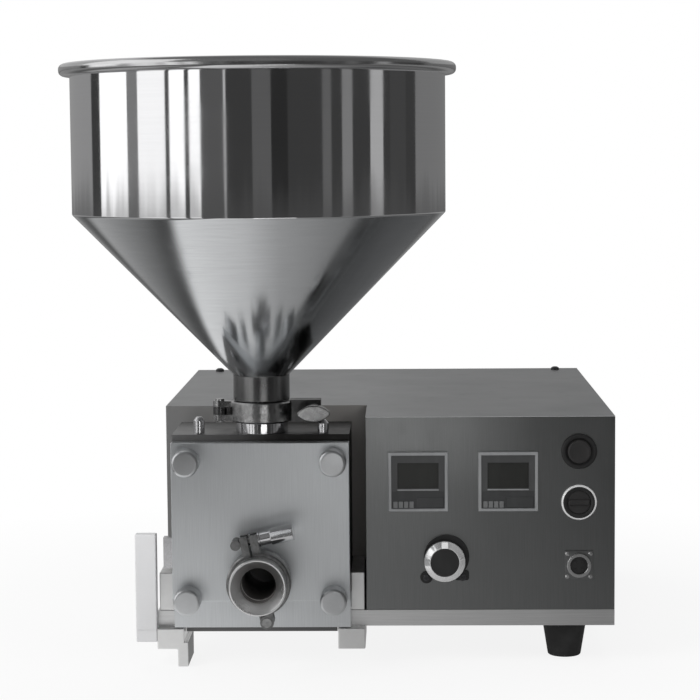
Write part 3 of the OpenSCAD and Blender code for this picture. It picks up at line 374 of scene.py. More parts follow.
def shadeFadedSteel(name, left, right, reach, rough, metallic):
    # coated steel with a painted shade that changes its colour from left to right, between two places in
    # metres, with a little dust noise on top
    mat, tree, shader, obj = startSurface(name, right, metallic, rough)
    dust = noiseOf(tree, obj, 30, 4, 0.6)
    # the painted shade runs along x
    along = mathOf(tree, "ADD", rangeOf(tree, partsOf(tree, obj)["X"], reach),
                   rangeOf(tree, dust, usual, (-0.08, 0.08)))
    tree.links.new(mixOf(tree, along, left, right), shader.inputs["Base Color"])
    tree.links.new(rangeOf(tree, dust, usual, (rough - 0.06, rough + 0.1)), shader.inputs["Roughness"])
    bumpOf(tree, shader, dust, 0.00001, 0.6)
    return mat


def castSteel(name, color, rough, grain=260.0, depth=0.00004):
    # pitted skin, darker in the pits, rubbed smoother on top
    mat, tree, shader, obj = startSurface(name, color, 1.0, rough)
    skin = noiseOf(tree, obj, grain, 4, 0.6)
    soft = noiseOf(tree, obj, 40, 3)
    pits = tuple(c * 0.6 for c in color)
    tree.links.new(rampOf(tree, skin, [(0.3, pits), (0.62, color)]), shader.inputs["Base Color"])
    tree.links.new(rangeOf(tree, soft, usual, (rough - 0.07, rough + 0.1)), shader.inputs["Roughness"])
    waved = bumpOf(tree, shader, soft, depth * 4, 0.5)
    bumpOf(tree, shader, skin, depth, 0.7, waved)
    return mat


def mouldedPlastic(name, color, rough, grain=900.0, depth=0.00002):
    # fine spark-eroded texture, slight scuffs
    mat, tree, shader, obj = startSurface(name, color, 0.0, rough)
    spark = noiseOf(tree, obj, grain, 2)
    scuff = noiseOf(tree, stretched(tree, obj, (1, 1, 0.3)), 90, 3, 0.6)
    pale = tuple(min(1, c * 1.25 + 0.004) for c in color)
    tree.links.new(rampOf(tree, scuff, [(0.45, color), (0.75, pale)]), shader.inputs["Base Color"])
    tree.links.new(rangeOf(tree, scuff, (0.3, 0.8), (rough - 0.05, rough + 0.12)), shader.inputs["Roughness"])
    bumpOf(tree, shader, spark, depth, 0.6)
    return mat


def enamel(name, color, rough, peel=320.0, depth=0.00003):
    # orange peel and a little unevenness of the sprayed paint
    mat, tree, shader, obj = startSurface(name, color, 0.0, rough)
    skin = noiseOf(tree, obj, peel, 2, 0.4)
    cloud = noiseOf(tree, obj, 7, 3)
    dark = tuple(c * 0.93 for c in color)
    pale = tuple(min(1, c * 1.07) for c in color)
    tree.links.new(rampOf(tree, cloud, [(0.35, dark), (0.65, pale)]), shader.inputs["Base Color"])
    tree.links.new(rangeOf(tree, cloud, usual, (rough - 0.04, rough + 0.06)), shader.inputs["Roughness"])
    bumpOf(tree, shader, skin, depth, 0.5)
    return mat


def softRubber(name, color, rough):
    # dusty bloom and a fine mould grain
    mat, tree, shader, obj = startSurface(name, color, 0.0, rough)
    bloom = noiseOf(tree, obj, 55, 4, 0.6)
    grain = noiseOf(tree, obj, 1100, 2)
    dusty = tuple(min(1, c * 1.5 + 0.012) for c in color)
    tree.links.new(rampOf(tree, bloom, [(0.42, color), (0.8, dusty)]), shader.inputs["Base Color"])
    tree.links.new(rangeOf(tree, bloom, usual, (rough - 0.08, rough + 0.1)), shader.inputs["Roughness"])
    bumpOf(tree, shader, grain, 0.00003, 0.6)
    return mat


finish = {
    "hopperMirror": polishedSteel("hopper mirror steel", (0.8, 0.8, 0.81), 0.035, 300, 0.00022, hopperAxis),
    "tubeSteel": polishedSteel("turned tube steel", (0.55, 0.55, 0.56), 0.09, 400, 0.00002, scale=0.2),
    "hopperSatin": satinSteel("hopper satin steel", (0.59, 0.6, 0.61), 0.14, "turned", 30, 0.000004, 0.04),
    "beadSteel": satinSteel("rolled bead steel", (0.6, 0.6, 0.605), 0.18, "turned", 30, 0.000004, 0.06),
    # the neck's steel is darkened as painted shade for the dark room it mirrors
    "neckShadeSteel": satinSteel("neck tube steel in painted shade", grey(0.19), 0.2, "turned", 60, 0.000003, 0.05),
    "brightSteel": satinSteel("bright turned steel", (0.6, 0.6, 0.61), 0.2, "even", 300, 0.000004, 0.06),
    "cabinetSteel": satinSteel("cabinet sheet steel", (0.32, 0.325, 0.33), 0.36, "sheet", 26, 0.000008, 0.07),
    "panelSteel": satinSteel("control panel sheet steel", (0.26, 0.265, 0.265), 0.335, "panel", 26, 0.000008,
                             0.06),
    "panSteel": satinSteel("chassis pan steel", grey(0.82), 0.42, "pan", 30, 0.00001, 0.06),
    "coverSteel": satinSteel("ground pump steel", (0.75, 0.77, 0.785), 0.4, "plate", 30, 0.00001, 0.05),
    "foldHighlightSteel": satinSteel("fold steel, painted highlight", (0.85, 0.86, 0.87), 0.4, "fold", 30, 0.000004, 0.04, 0.5),
    "standSteel": satinSteel("stand bar steel", (0.93, 0.93, 0.925), 0.42, "bar", 30, 0.00001, 0.05),
    "railShade": satinSteel("rail steel in painted shade", grey(0.17), 0.5, "bar", 30, 0.00001, 0.05),
    "knobSteel": satinSteel("turned knob steel", (0.62, 0.63, 0.64), 0.34, "bar", 60, 0.000006, 0.05),
    "nozzleSteel": satinSteel("turned nozzle steel", grey(0.78), 0.3, "bar", 60, 0.000005, 0.05),
    "bronze": satinSteel("bearing bronze", (0.5, 0.33, 0.14), 0.35, "shaft", 60, 0.000008, 0.08),
    "groundSteel": satinSteel("ground shaft steel", (0.6, 0.61, 0.62), 0.22, "shaft", 60, 0.000005, 0.05),
    "brightNut": satinSteel("bright wing nut", (0.72, 0.72, 0.73), 0.14, "even", 200, 0.000003, 0.05),
    "chrome": satinSteel("chrome plate", (0.95, 0.95, 0.96), 0.09, "even", 200, 0.000001, 0.03),
    "dialRing": satinSteel("dial ring plating", (0.95, 0.95, 0.955), 0.1, "even", 200, 0.000001, 0.03, 0.75),
    "switchRing": satinSteel("switch ring", grey(0.92), 0.2, "even", 200, 0.000001, 0.03, 0.4),
    "socketPlate": satinSteel("socket plate", (0.27, 0.275, 0.275), 0.34, "even", 200, 0.000004, 0.05),
    "socketChrome": satinSteel("socket chrome", grey(0.6), 0.22, "even", 200, 0.000001, 0.03),
    # the pump body's top: painted shade that darkens to the right
    "bodyShadeSteel": shadeFadedSteel("pump body steel in painted shade", grey(0.3), (0.03, 0.029, 0.028), (-0.13, -0.045), 0.42, 0.9),
    # the bay's walls: painted shade, graded from left to right
    "bayShadeSteel": shadeFadedSteel("bay wall steel in painted shade", grey(0.24), (0.42, 0.405, 0.39), (-0.15, 0.0), 0.6, 0.2),
    "clampSteel": castSteel("hopper clamp casting", grey(0.42), 0.24),
    "shadedClamp": castSteel("clamp casting in painted shade", grey(0.12), 0.3),
    "darkClamp": castSteel("outlet clamp casting", grey(0.26), 0.3),
    "nutSteel": castSteel("wing nut casting", grey(0.36), 0.22, 200, 0.00001),
    "boreShadeEnamel": enamel("bore in painted shade", (0.15, 0.142, 0.138), 0.7, 500, 0.00001),
    "postPaint": enamel("pale side bar enamel", (0.82, 0.82, 0.83), 0.4),
    "screwBlack": enamel("blackened screw", (0.03, 0.03, 0.032), 0.4, 500, 0.00001),
    "motorPaint": enamel("motor enamel", (0.06, 0.07, 0.085), 0.45),
    "whiteMark": enamel("white pointer paint", grey(0.8), 0.4),
    "rubber": softRubber("black rubber", grey(0.018), 0.7),
    "silicone": softRubber("white silicone", (0.75, 0.75, 0.72), 0.5),
    "blackPlastic": mouldedPlastic("black plastic", (0.02, 0.02, 0.021), 0.4),
    "timerFrame": mouldedPlastic("timer frame plastic", (0.24, 0.245, 0.25), 0.42),
    "timerFace": mouldedPlastic("timer face plastic", (0.05, 0.051, 0.052), 0.55),
    "timerWindow": mouldedPlastic("timer window", (0.014, 0.0145, 0.013), 0.4, 200, 0.000002),
    "timerField": mouldedPlastic("timer key field", (0.035, 0.036, 0.037), 0.55),
    "timerKey": mouldedPlastic("timer keys", (0.13, 0.133, 0.135), 0.45),
    "timerFlap": mouldedPlastic("timer flap", (0.035, 0.036, 0.037), 0.45),
    "gripPlastic": mouldedPlastic("dial grip plastic", grey(0.014), 0.45),
    "buttonRing": mouldedPlastic("button ring plastic", grey(0.014), 0.45),
    "capPlastic": mouldedPlastic("button cap plastic", (0.022, 0.021, 0.021), 0.45),
    "board": mouldedPlastic("board green", (0.02, 0.11, 0.05), 0.35, 500, 0.00002),
}
slotFinish = dict(
    sheet_steel="cabinetSteel", black_screw="screwBlack", rubber="rubber", stand_steel="standSteel",
    post_paint="postPaint", pump_steel="coverSteel", ground_steel="groundSteel", bronze="bronze",
    bright_steel="brightSteel", seal_white="silicone", hopper_steel="hopperMirror", cast_steel="clampSteel",
    motor_paint="motorPaint", black_plastic="blackPlastic", chrome_trim="chrome", board_green="board")

for name, node in nodes.items():
    surface = finish[slotFinish[slotOf[name]]]
    if not node.data.materials:
        node.data.materials.append(surface)
    for index in range(len(node.data.materials)):
        node.data.materials[index] = surface
print("finishes made and given to the nodes")

# mesh helpers: sizes and places in mm, meshes in metres


def arcPoints(cx, cz, radius, start, end, count):
    turns = [math.radians(start + (end - start) * i / count) for i in range(count + 1)]
    return [(cx + radius * math.cos(turn), cz + radius * math.sin(turn)) for turn in turns]


def turned(outline, steps=96):  # spins a closed outline of (radius, height) round Z
    bm = bmesh.new()
    verts = [bm.verts.new((r * mm, 0, z * mm)) for r, z in outline]
    sides = [bm.edges.new(pair) for pair in zip(verts, verts[1:] + verts[:1])]
    bmesh.ops.spin(bm, geom=verts + sides, cent=(0, 0, 0), axis=(0, 0, 1), angle=math.tau, steps=steps,
                   use_merge=True, use_duplicate=False)
    bmesh.ops.remove_doubles(bm, verts=bm.verts, dist=weld)
    bmesh.ops.recalc_face_normals(bm, faces=bm.faces)
    return bm


def soften(bm, width, segments=2, angle=30):
    limit = math.radians(angle)
    sharp = [e for e in bm.edges if len(e.link_faces) == 2 and e.calc_face_angle(0) > limit]
    bmesh.ops.bevel(bm, geom=sharp, offset=width * mm, offset_type="OFFSET", segments=segments, profile=0.5,
                    affect="EDGES", material=-1, clamp_overlap=True, loop_slide=True)
    return bm


def block(size, centre=(0, 0, 0), edge=0.0, segments=2):
    bm = bmesh.new()
    bmesh.ops.create_cube(bm, size=mm)
    bmesh.ops.scale(bm, vec=size, verts=bm.verts)
    bmesh.ops.translate(bm, vec=Vector(centre) * mm, verts=bm.verts)
    return soften(bm, edge, segments) if edge else bm


def rod(radius, height, base, steps):
    bm = bmesh.new()
    bmesh.ops.create_cone(bm, cap_ends=True, cap_tris=False, segments=steps, radius1=radius * mm,
                          radius2=radius * mm, depth=height * mm)
    bmesh.ops.translate(bm, vec=(Vector(base) + Vector((0, 0, height / 2))) * mm, verts=bm.verts)
    return bm


def shifted(x, y, z):
    return Matrix.Translation(Vector((x, y, z)) * mm)


def facing(x, y, z):  # a place in metres for a piece made upright, which then stands out towards the front
    return Matrix.Translation((x, y, z)) @ Matrix.Rotation(math.pi / 2, 4, "X")


def onPanel(node):  # the middle of a node on the control panel's face
    place = middle(node)
    return facing(place.x, panelFront, place.z)


def join(bm, part, place=Matrix(), finishIndex=0):  # with no index, the part's faces keep their own
    part.transform(place)
    if finishIndex is not None:
        for face in part.faces:
            face.material_index = finishIndex
    spare = bpy.data.meshes.new("spare")
    part.to_mesh(spare)
    part.free()
    bm.from_mesh(spare)
    bpy.data.meshes.remove(spare)


def slit(bm, places, axis):  # cuts the faces along planes across an axis
    for place in places:
        point, normal = [0, 0, 0], [0, 0, 0]
        point[axis], normal[axis] = place * mm, 1
        every = bm.verts[:] + bm.edges[:] + bm.faces[:]
        bmesh.ops.bisect_plane(bm, geom=every, plane_co=point, plane_no=normal)


def cutAway(bm, tool):  # takes the tool's shape out of the piece
    body, cutter = bpy.data.meshes.new("body"), bpy.data.meshes.new("cutter")
    bm.to_mesh(body)
    tool.to_mesh(cutter)
    tool.free()
    first, second = bpy.data.objects.new("body", body), bpy.data.objects.new("cutter", cutter)
    for obj in (first, second):
        bpy.context.scene.collection.objects.link(obj)
    cut = first.modifiers.new("cut", "BOOLEAN")
    cut.operation = "DIFFERENCE"
    cut.solver = "EXACT"
    cut.object = second
    bpy.context.view_layer.update()
    done = bpy.data.meshes.new_from_object(first.evaluated_get(bpy.context.evaluated_depsgraph_get()))
    bm.clear()
    bm.from_mesh(done)
    for obj in (first, second):
        bpy.data.objects.remove(obj)
    for mesh in (body, cutter, done):
        bpy.data.meshes.remove(mesh)


def recess(bm, area, lip, depth, index):  # sinks the upward faces inside an area and gives them a finish
    left, bottom, right, top = area
    faces = []
    for face in bm.faces:
        place = face.calc_center_median() / mm
        if face.normal.z > 0.9 and left < place.x < right and bottom < place.y < top:
            faces.append(face)
    bmesh.ops.inset_region(bm, faces=faces, thickness=lip * mm, depth=0, use_even_offset=True)
    bmesh.ops.inset_region(bm, faces=faces, thickness=lip * mm, depth=-depth * mm, use_even_offset=True)
    for face in faces:
        face.material_index = index


def crossCutter(reach, wide, deep, place, turn=0.35):  # plus-shaped bar that cuts a screw's cross recess
    bm = bmesh.new()
    corners, arm = [], [(wide, wide), (wide, reach), (-wide, reach)]
    for quarter in range(4):
        corners += arm
        arm = [(-y, x) for x, y in arm]
    face = bm.faces.new([bm.verts.new((x * mm, y * mm, -deep * mm)) for x, y in corners])
    raised = bmesh.ops.extrude_face_region(bm, geom=[face])
    bmesh.ops.translate(bm, vec=(0, 0, 3 * deep * mm),
                        verts=[v for v in raised["geom"] if isinstance(v, bmesh.types.BMVert)])
    bmesh.ops.recalc_face_normals(bm, faces=bm.faces)
    bm.transform(place @ Matrix.Rotation(turn, 4, "Z"))
    return bm


def screwHead(outline, steps, cross):  # a turned head with its cross recess
    bm = turned(outline, steps)
    cutAway(bm, crossCutter(*cross, shifted(0, 0, outline[-1][1])))
    return bm


def finishPiece(bm, name, body, finishes, standsFor=(), crease=30):
    mesh = bpy.data.meshes.new(name)
    bm.to_mesh(mesh)
    bm.free()
    for key in finishes:
        mesh.materials.append(finish[key])
    mesh.polygons.foreach_set("use_smooth", [True] * len(mesh.polygons))
    mesh.set_sharp_from_angle(angle=math.radians(crease))
    piece = bpy.data.objects.new(name, mesh)
    bpy.context.scene.collection.objects.link(piece)
    evened = piece.modifiers.new("evened", "WEIGHTED_NORMAL")
    evened.keep_sharp = True
    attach(piece, body)
    if standsFor:
        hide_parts(*standsFor)


def merged(node):  # a node's mesh with its doubles merged and its flat faces whole
    bm = bmesh.new()
    bm.from_mesh(nodes[node].data)
    bmesh.ops.remove_doubles(bm, verts=bm.verts, dist=weld)
    bmesh.ops.dissolve_limit(bm, angle_limit=math.radians(0.3), verts=bm.verts, edges=bm.edges)
    return bm


def softCopy(node, width, finishes, segments=3, angle=30, pick=None, change=None, crease=30):
    # a merged copy of a node with its sharp edges rounded, in the node's place. Change alters it first, and
    # pick says from a face's middle, in mm, and its normal whether it takes the second finish
    bm = merged(node)
    if change:
        change(bm)
    soften(bm, width, segments, angle)
    for face in bm.faces:
        face.material_index = int(pick(face.calc_center_median() / mm, face.normal)) if pick else 0
    finishPiece(bm, node.replace("_", "-") + "-soft", bodyOf[node], finishes, [node], crease=crease)


def offAxis(point, axis):  # distance from an axis that runs front to back
    return math.hypot(point.x - axis.x / mm, point.z - axis.z / mm)


# cabinet, pump body and stand: folded and machined edges, by their radius

edges = dict(sheet=1.1, panel=0.45, pan=0.7, plate=0.8, bar=0.9)
seams = dict(coverFoot=1.0, footBand=0.3, barLine=30.4, barGroove=0.5, barLineHalf=0.35, flangeTop=60,
             port=15.5, bayRight=20, bayFront=-112, foldAbove=200, shadeLeft=-124, shadeRight=-12)


def inBay(point, normal):  # walls inside the bay that holds the pump, which take a painted shade
    return point.x < seams["bayRight"] and normal.y < -0.5 and point.y > seams["bayFront"]


def onFold(point, normal):  # the rounded fold along the panel's top edge, painted lighter as a highlight
    return normal.z > 0.3 and normal.y < -0.1 and point.z > seams["foldAbove"]


def underPump(point, normal):  # front and right sides of the rails, painted dark as the pump's shade
    return seams["shadeLeft"] < point.x < seams["shadeRight"] and (normal.y < -0.5 or normal.x > 0.5)


def inPort(point, normal, lean=0.5):  # round walls of the outlet's bore, which take a painted shade
    return offAxis(point, outletAxis) < seams["port"] and abs(normal.y) < lean


def splitBody(bm):  # so that the body's faces end where its finish changes
    slit(bm, [seams["flangeTop"]], 2)


def liftFoot(bm):  # leaves a thin gap under the cover's lower edge
    low = min(v.co.z for v in bm.verts)
    for vert in bm.verts:
        if vert.co.z < low + seams["footBand"] * mm:
            vert.co.z += seams["coverFoot"] * mm


def grooveBar(bm):  # a fine groove round the bar, where its foot begins
    line, half = seams["barLine"], seams["barLineHalf"]
    centre = sum((v.co for v in bm.verts), Vector()) / len(bm.verts)
    slit(bm, [line - half, line, line + half], 2)
    for vert in bm.verts:
        if abs(vert.co.z / mm - line) < half / 2:
            vert.co.x -= math.copysign(seams["barGroove"] * mm, vert.co.x - centre.x)
            vert.co.y -= math.copysign(seams["barGroove"] * mm, vert.co.y - centre.y)


softCopy("housing_cover", edges["sheet"], ["cabinetSteel", "bayShadeSteel"], pick=inBay)
softCopy("control_panel", edges["panel"], ["panelSteel", "foldHighlightSteel"], pick=onFold, crease=12)
softCopy("base_pan", edges["pan"], ["panSteel"])
softCopy("rear_panel", edges["panel"], ["cabinetSteel"])
# above the flange the pump body takes a painted shade
softCopy("pump_body", edges["plate"], ["coverSteel", "bodyShadeSteel"], change=splitBody,
         pick=lambda point, normal: point.z > seams["flangeTop"])
softCopy("pump_cover", edges["plate"], ["coverSteel", "boreShadeEnamel"], change=liftFoot, pick=inPort)
softCopy("pump_cradle", edges["bar"], ["standSteel"])
softCopy("stand_rails", edges["bar"], ["standSteel", "railShade"], pick=underPump)
softCopy("side_post", edges["bar"], ["postPaint"], change=grooveBar)
softCopy("body_fittings", edges["plate"], ["brightSteel"])
print("cabinet, pump and stand edges rounded")

# hopper: one turned sheet, from its ferrule up to the rolled rim. Top, seam, coneFoot and joint are heights
# above the floor, the ferrule's heights are above the joint, and the sizes across are diameters

hopper = dict(cylinder=298.6, rim=316, top=485, seam=366.4, coneFoot=236.4, neck=45.6, joint=206.7, wall=1.5,
              bead=9.6, beadRound=4.2, steps=224)
ferrule = dict(foot=0.8, bore=30, boreTop=10.2, lip=40, lipThick=1.8, lipSlope=1.8, tube=33.6, tubeTop=8.5,
               neckFoot=9.6, neckInside=16.2)


def makeHopper(h, f):
    outer, neck, rim = h["cylinder"] / 2, h["neck"] / 2, h["rim"] / 2
    bore, lip, tube = f["bore"] / 2, f["lip"] / 2, f["tube"] / 2
    wall, top, seam, coneFoot, r = h["wall"], h["top"], h["seam"], h["coneFoot"], h["beadRound"]
    low = h["joint"] + f["foot"]
    lipTop = low + f["lipThick"]
    neckLow = h["joint"] + f["neckFoot"]
    foot = [(bore, low), (lip, low), (lip, lipTop), (tube, lipTop + f["lipSlope"]),
            (tube, h["joint"] + f["tubeTop"])]
    neckTube = [(neck - 0.6, neckLow - 0.8), (neck, neckLow), (neck, coneFoot - 0.8)]
    cone = [(neck + 0.25, coneFoot + 0.2), (outer - 0.9, seam - 1.1), (outer - 0.1, seam - 0.1)]
    cylinder = [(outer, seam + 0.9), (outer, top - h["bead"] - 0.4)]
    bead = arcPoints(rim - r, top - h["bead"] + r, r, -90, 0, 8) + arcPoints(rim - r, top - r, r, 0, 90, 8)
    inside = [(outer + 0.4, top), (outer - 0.5, top - 0.25), (outer - wall + 0.1, top - 0.5),
              (outer - wall, top - 1.2), (outer - wall, seam + 1.6), (outer - wall - 0.6, seam - 0.2),
              (neck - wall + 0.4, coneFoot + 1.2), (neck - wall, coneFoot - 0.2),
              (neck - wall, h["joint"] + f["neckInside"]), (bore, h["joint"] + f["boreTop"])]
    bm = turned(foot + neckTube + cone + cylinder + bead + inside, h["steps"])
    finishes = ["hopperMirror", "hopperSatin", "neckShadeSteel", "beadSteel"]
    for face in bm.faces:
        place = face.calc_center_median() / mm
        radius = math.hypot(place.x, place.y)
        outside = face.normal.x * place.x + face.normal.y * place.y > 0
        # the ferrule and neck take the steel darkened as painted shade
        if place.z < coneFoot:
            chosen = "neckShadeSteel"
        elif radius > outer + 0.5 and face.normal.z < 0.75:
            chosen = "beadSteel"
        elif place.z < seam or (not outside and radius < outer - 0.5):
            chosen = "hopperSatin"
        else:
            chosen = "hopperMirror"
        face.material_index = finishes.index(chosen)
    bmesh.ops.translate(bm, vec=hopperAxis, verts=bm.verts)
    finishPiece(bm, "hopperShell", "machine", finishes, ["hopper"], crease=40)


makeHopper(hopper, ferrule)
print("hopper turned")

# cover knobs: turned bars with a rounded front edge

knobs = dict(radius=10.75, length=17.5, bore=4.05, boreEdge=0.4, chamfer=0.8, edge=2.4, end=2, steps=72)


def makeCoverKnob(number):
    node = f"cover_knob_{number}"
    k = knobs
    r, length, bore = k["radius"], k["length"], k["bore"]
    outline = [(bore, k["boreEdge"]), (bore + k["boreEdge"], 0), (r - k["chamfer"], 0), (r, k["chamfer"])]
    outline += arcPoints(r - k["edge"], length - k["edge"], k["edge"], 0, 90, 6)
    outline += [(0, length), (0, length - k["end"]), (bore, length - k["end"])]
    bm = turned(outline, k["steps"])
    place, back = middle(node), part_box(node)[1].y
    bm.transform(facing(place.x, back, place.z))
    finishPiece(bm, f"coverKnob{number}", bodyOf[node], ["knobSteel"], [node])


for number in range(1, 5):
    makeCoverKnob(number)

# clamps, their wing nuts, the nozzle, the power inlet and the feet, by the radius of their edges

clampEdges = dict(ring=0.7, bolt=0.4, wing=1.6, nozzle=0.5, ferrule=0.3, foot=1.6, inlet=0.5)
clampEar = 27  # how far right of the hopper's axis the front clamp half takes the painted shade of the rear half
feet = dict(widerLow=1.08, widerHigh=1.16, tall=31.5)


def widenFeet(bm):  # each foot a little wider round its own axis
    centre = middle("rubber_feet")
    groups = {}
    for vert in bm.verts:
        groups.setdefault((vert.co.x > centre.x, vert.co.y > centre.y), []).append(vert)
    for group in groups.values():
        axis = sum((v.co for v in group), Vector()) / len(group)
        for vert in group:
            wider = feet["widerLow"] + (feet["widerHigh"] - feet["widerLow"]) * vert.co.z / mm / feet["tall"]
            vert.co.x = axis.x + (vert.co.x - axis.x) * wider
            vert.co.y = axis.y + (vert.co.y - axis.y) * wider


# the rear clamp half and the front half's ear are the same casting in painted shade
softCopy("hopper_clamp_front", clampEdges["ring"], ["clampSteel", "shadedClamp"], 2,
         pick=lambda point, normal: point.x - hopperAxis.x / mm > clampEar)
softCopy("hopper_clamp_back", clampEdges["ring"], ["shadedClamp"], 2)
softCopy("outlet_clamp_left", clampEdges["ring"], ["darkClamp"], 2)
softCopy("outlet_clamp_right", clampEdges["ring"], ["darkClamp"], 2)
softCopy("outlet_clamp_bolt", clampEdges["bolt"], ["darkClamp"], 2)
softCopy("hopper_wing_nut", clampEdges["wing"], ["nutSteel"], 4, 25)
softCopy("outlet_wing_nut", clampEdges["wing"], ["brightNut"], 4, 25)
softCopy("outlet_nozzle", clampEdges["nozzle"], ["nozzleSteel", "boreShadeEnamel"], 2, 25,
         pick=lambda point, normal: inPort(point, normal, 0.4))
softCopy("inlet_ferrule", clampEdges["ferrule"], ["tubeSteel"], 2, 25)
softCopy("rubber_feet", clampEdges["foot"], ["rubber"], 3, 40, change=widenFeet)
softCopy("power_inlet", clampEdges["inlet"], ["blackPlastic"], 2)
print("knobs, clamps and nozzle made")

# cabinet screws, each head with a cross recess: its reach, width and depth

screws = dict(cross=(2.2, 0.5, 1.2), proud=2.2, apart=9)


def makeScrews():
    bm = merged("cabinet_screws")
    top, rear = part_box("housing_cover")[1].z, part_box("rear_panel")[1].y
    cutter = bmesh.new()
    for side, wall, up in ((2, top, Matrix()), (1, rear, Matrix.Rotation(-math.pi / 2, 4, "X"))):
        outer = [v.co for v in bm.verts if v.co[side] > wall + screws["proud"] * mm]
        while outer:
            head = [co for co in outer if (co - outer[0]).length < screws["apart"] * mm]
            outer = [co for co in outer if (co - head[0]).length >= screws["apart"] * mm]
            centre = sum(head, Vector()) / len(head)
            join(cutter, crossCutter(*screws["cross"], Matrix.Translation(centre) @ up))
    cutAway(bm, cutter)
    finishPiece(bm, "cabinetScrews", "machine", ["screwBlack"], ["cabinet_screws"])


makeScrews()

# two digital timers: framed bezel, sunk window and key field, four keys, a ledge and a flap. The window and
# the field run from left and bottom to right and top, from the bezel's middle

timers = dict(size=48, proud=4, edge=0.7, frame=2.3, frameSlope=0.25, frameDeep=0.45,
              window=(-16.6, -5.2, 16.6, 15.6), windowDeep=0.8, field=(-20.8, -22, 20.8, -7.6),
              fieldDeep=0.35, lip=0.05, keys=4, key=(3.6, 5.4, 0.9), keyAt=(-18.2, -18.4, 3.6), keyStep=4.3,
              keyEdge=0.5, flap=(21.6, 8.4, 0.5), flapAt=(9.4, -16.6, 3.4), flapEdge=0.3,
              ledge=(33.2, 0.9, 0.5), ledgeAt=(0, -6.4, 3.5), ledgeEdge=0.15, case=(44, 44, 78), caseEdge=1.2)


def makeBezel(t):
    bezel = block((t["size"], t["size"], t["proud"]), (0, 0, t["proud"] / 2), t["edge"], 3)
    front = [max(bezel.faces, key=lambda face: face.calc_area() * face.normal.z)]
    bmesh.ops.inset_region(bezel, faces=front, thickness=t["frame"] * mm, depth=0)
    bmesh.ops.inset_region(bezel, faces=front, thickness=t["frameSlope"] * mm, depth=-t["frameDeep"] * mm)
    front[0].material_index = 1
    for axis in (0, 1):
        slit(bezel, [area[side] for area in (t["window"], t["field"]) for side in (axis, axis + 2)], axis)
    recess(bezel, t["window"], t["lip"], t["windowDeep"], 2)
    recess(bezel, t["field"], t["lip"], t["fieldDeep"], 3)
    return bezel


def makeTimers(t):
    low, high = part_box("timers")
    half = t["size"] / 2 * mm
    bm = bmesh.new()
    for x in (low.x + half, high.x - half):
        place = facing(x, panelFront, (low.z + high.z) / 2)
        join(bm, makeBezel(t), place, None)
        for i in range(t["keys"]):
            keyAt = Vector(t["keyAt"]) + Vector((i * t["keyStep"], 0, 0))
            join(bm, block(t["key"], keyAt, t["keyEdge"]), place, 4)
        join(bm, block(t["ledge"], t["ledgeAt"], t["ledgeEdge"], 1), place, 0)
        join(bm, block(t["flap"], t["flapAt"], t["flapEdge"]), place, 5)
        join(bm, block(t["case"], (0, 0, -t["case"][2] / 2), t["caseEdge"]), place, 6)
    finishes = ["timerFrame", "timerFace", "timerWindow", "timerField", "timerKey", "timerFlap",
                "blackPlastic"]
    finishPiece(bm, "timerUnits", "machine", finishes, ["timers"], crease=35)


makeTimers(timers)

# speed dial: black backing plate with two lugs, black body, chromed ring, black face and a white pointer.
# Sizes across are radii; back, foot and top are distances from the panel

dial = dict(body=16.3, bodyEdge=0.5, bore=3.0, back=5, foot=12, top=17.1, ring=16.5, ringLand=0.8, face=11.5,
            lap=0.1, pointer=(5.2, 5.0, 4.5), pointerProud=0.7, pointerEdge=0.4)
dialPlate = dict(disc=18.3, discAt=(1.7, 1.6), discThick=1.5, lug=5.0, lugAt=(-14.6, -15.0), lugThick=1.45,
                 roundEdge=0.35, corner=(11.4, 8.2, 1.4), cornerAt=(14.1, -13.4), cornerRound=2,
                 cornerEdge=0.3, screw=[(0, 0), (2.9, 0), (2.9, 0.6), (2.4, 1.1), (1.2, 1.4), (0, 1.4)],
                 cross=(1.7, 0.4, 0.8))


def makeDial(d):
    bore, foot, top, face = d["bore"], d["foot"], d["top"], d["face"]
    seat = face - d["lap"]
    land = foot + d["ringLand"]
    body = [(bore, d["back"]), (d["body"] - d["bodyEdge"], d["back"]), (d["body"], d["back"] + d["bodyEdge"]),
            (d["body"], foot), (bore, foot)]
    ring = [(seat, foot), (d["ring"] - 0.1, foot), (d["ring"], foot + 0.2), (d["ring"], land),
            (d["ring"] - 0.3, land + 0.5), (face + 0.6, top), (face + 0.2, top), (seat, top - 0.4)]
    cap = [(0, foot - 1), (bore, foot - 1), (bore, foot), (seat, foot), (seat, top - 0.5),
           (face - 0.5, top - 0.2), (0, top - 0.1)]
    bm = bmesh.new()
    for outline, index in ((body, 1), (ring, 0), (cap, 1)):
        join(bm, turned(outline), Matrix(), index)
    pointerAt = (0, d["ring"] - d["pointer"][1] / 2, top + d["pointerProud"] - d["pointer"][2] / 2)
    join(bm, block(d["pointer"], pointerAt, d["pointerEdge"]), Matrix(), 2)
    bm.transform(onPanel("speed_knob"))
    finishes = ["dialRing", "gripPlastic", "whiteMark"]
    finishPiece(bm, "speedDial", bodyOf["speed_knob"], finishes, ["speed_knob"], crease=35)


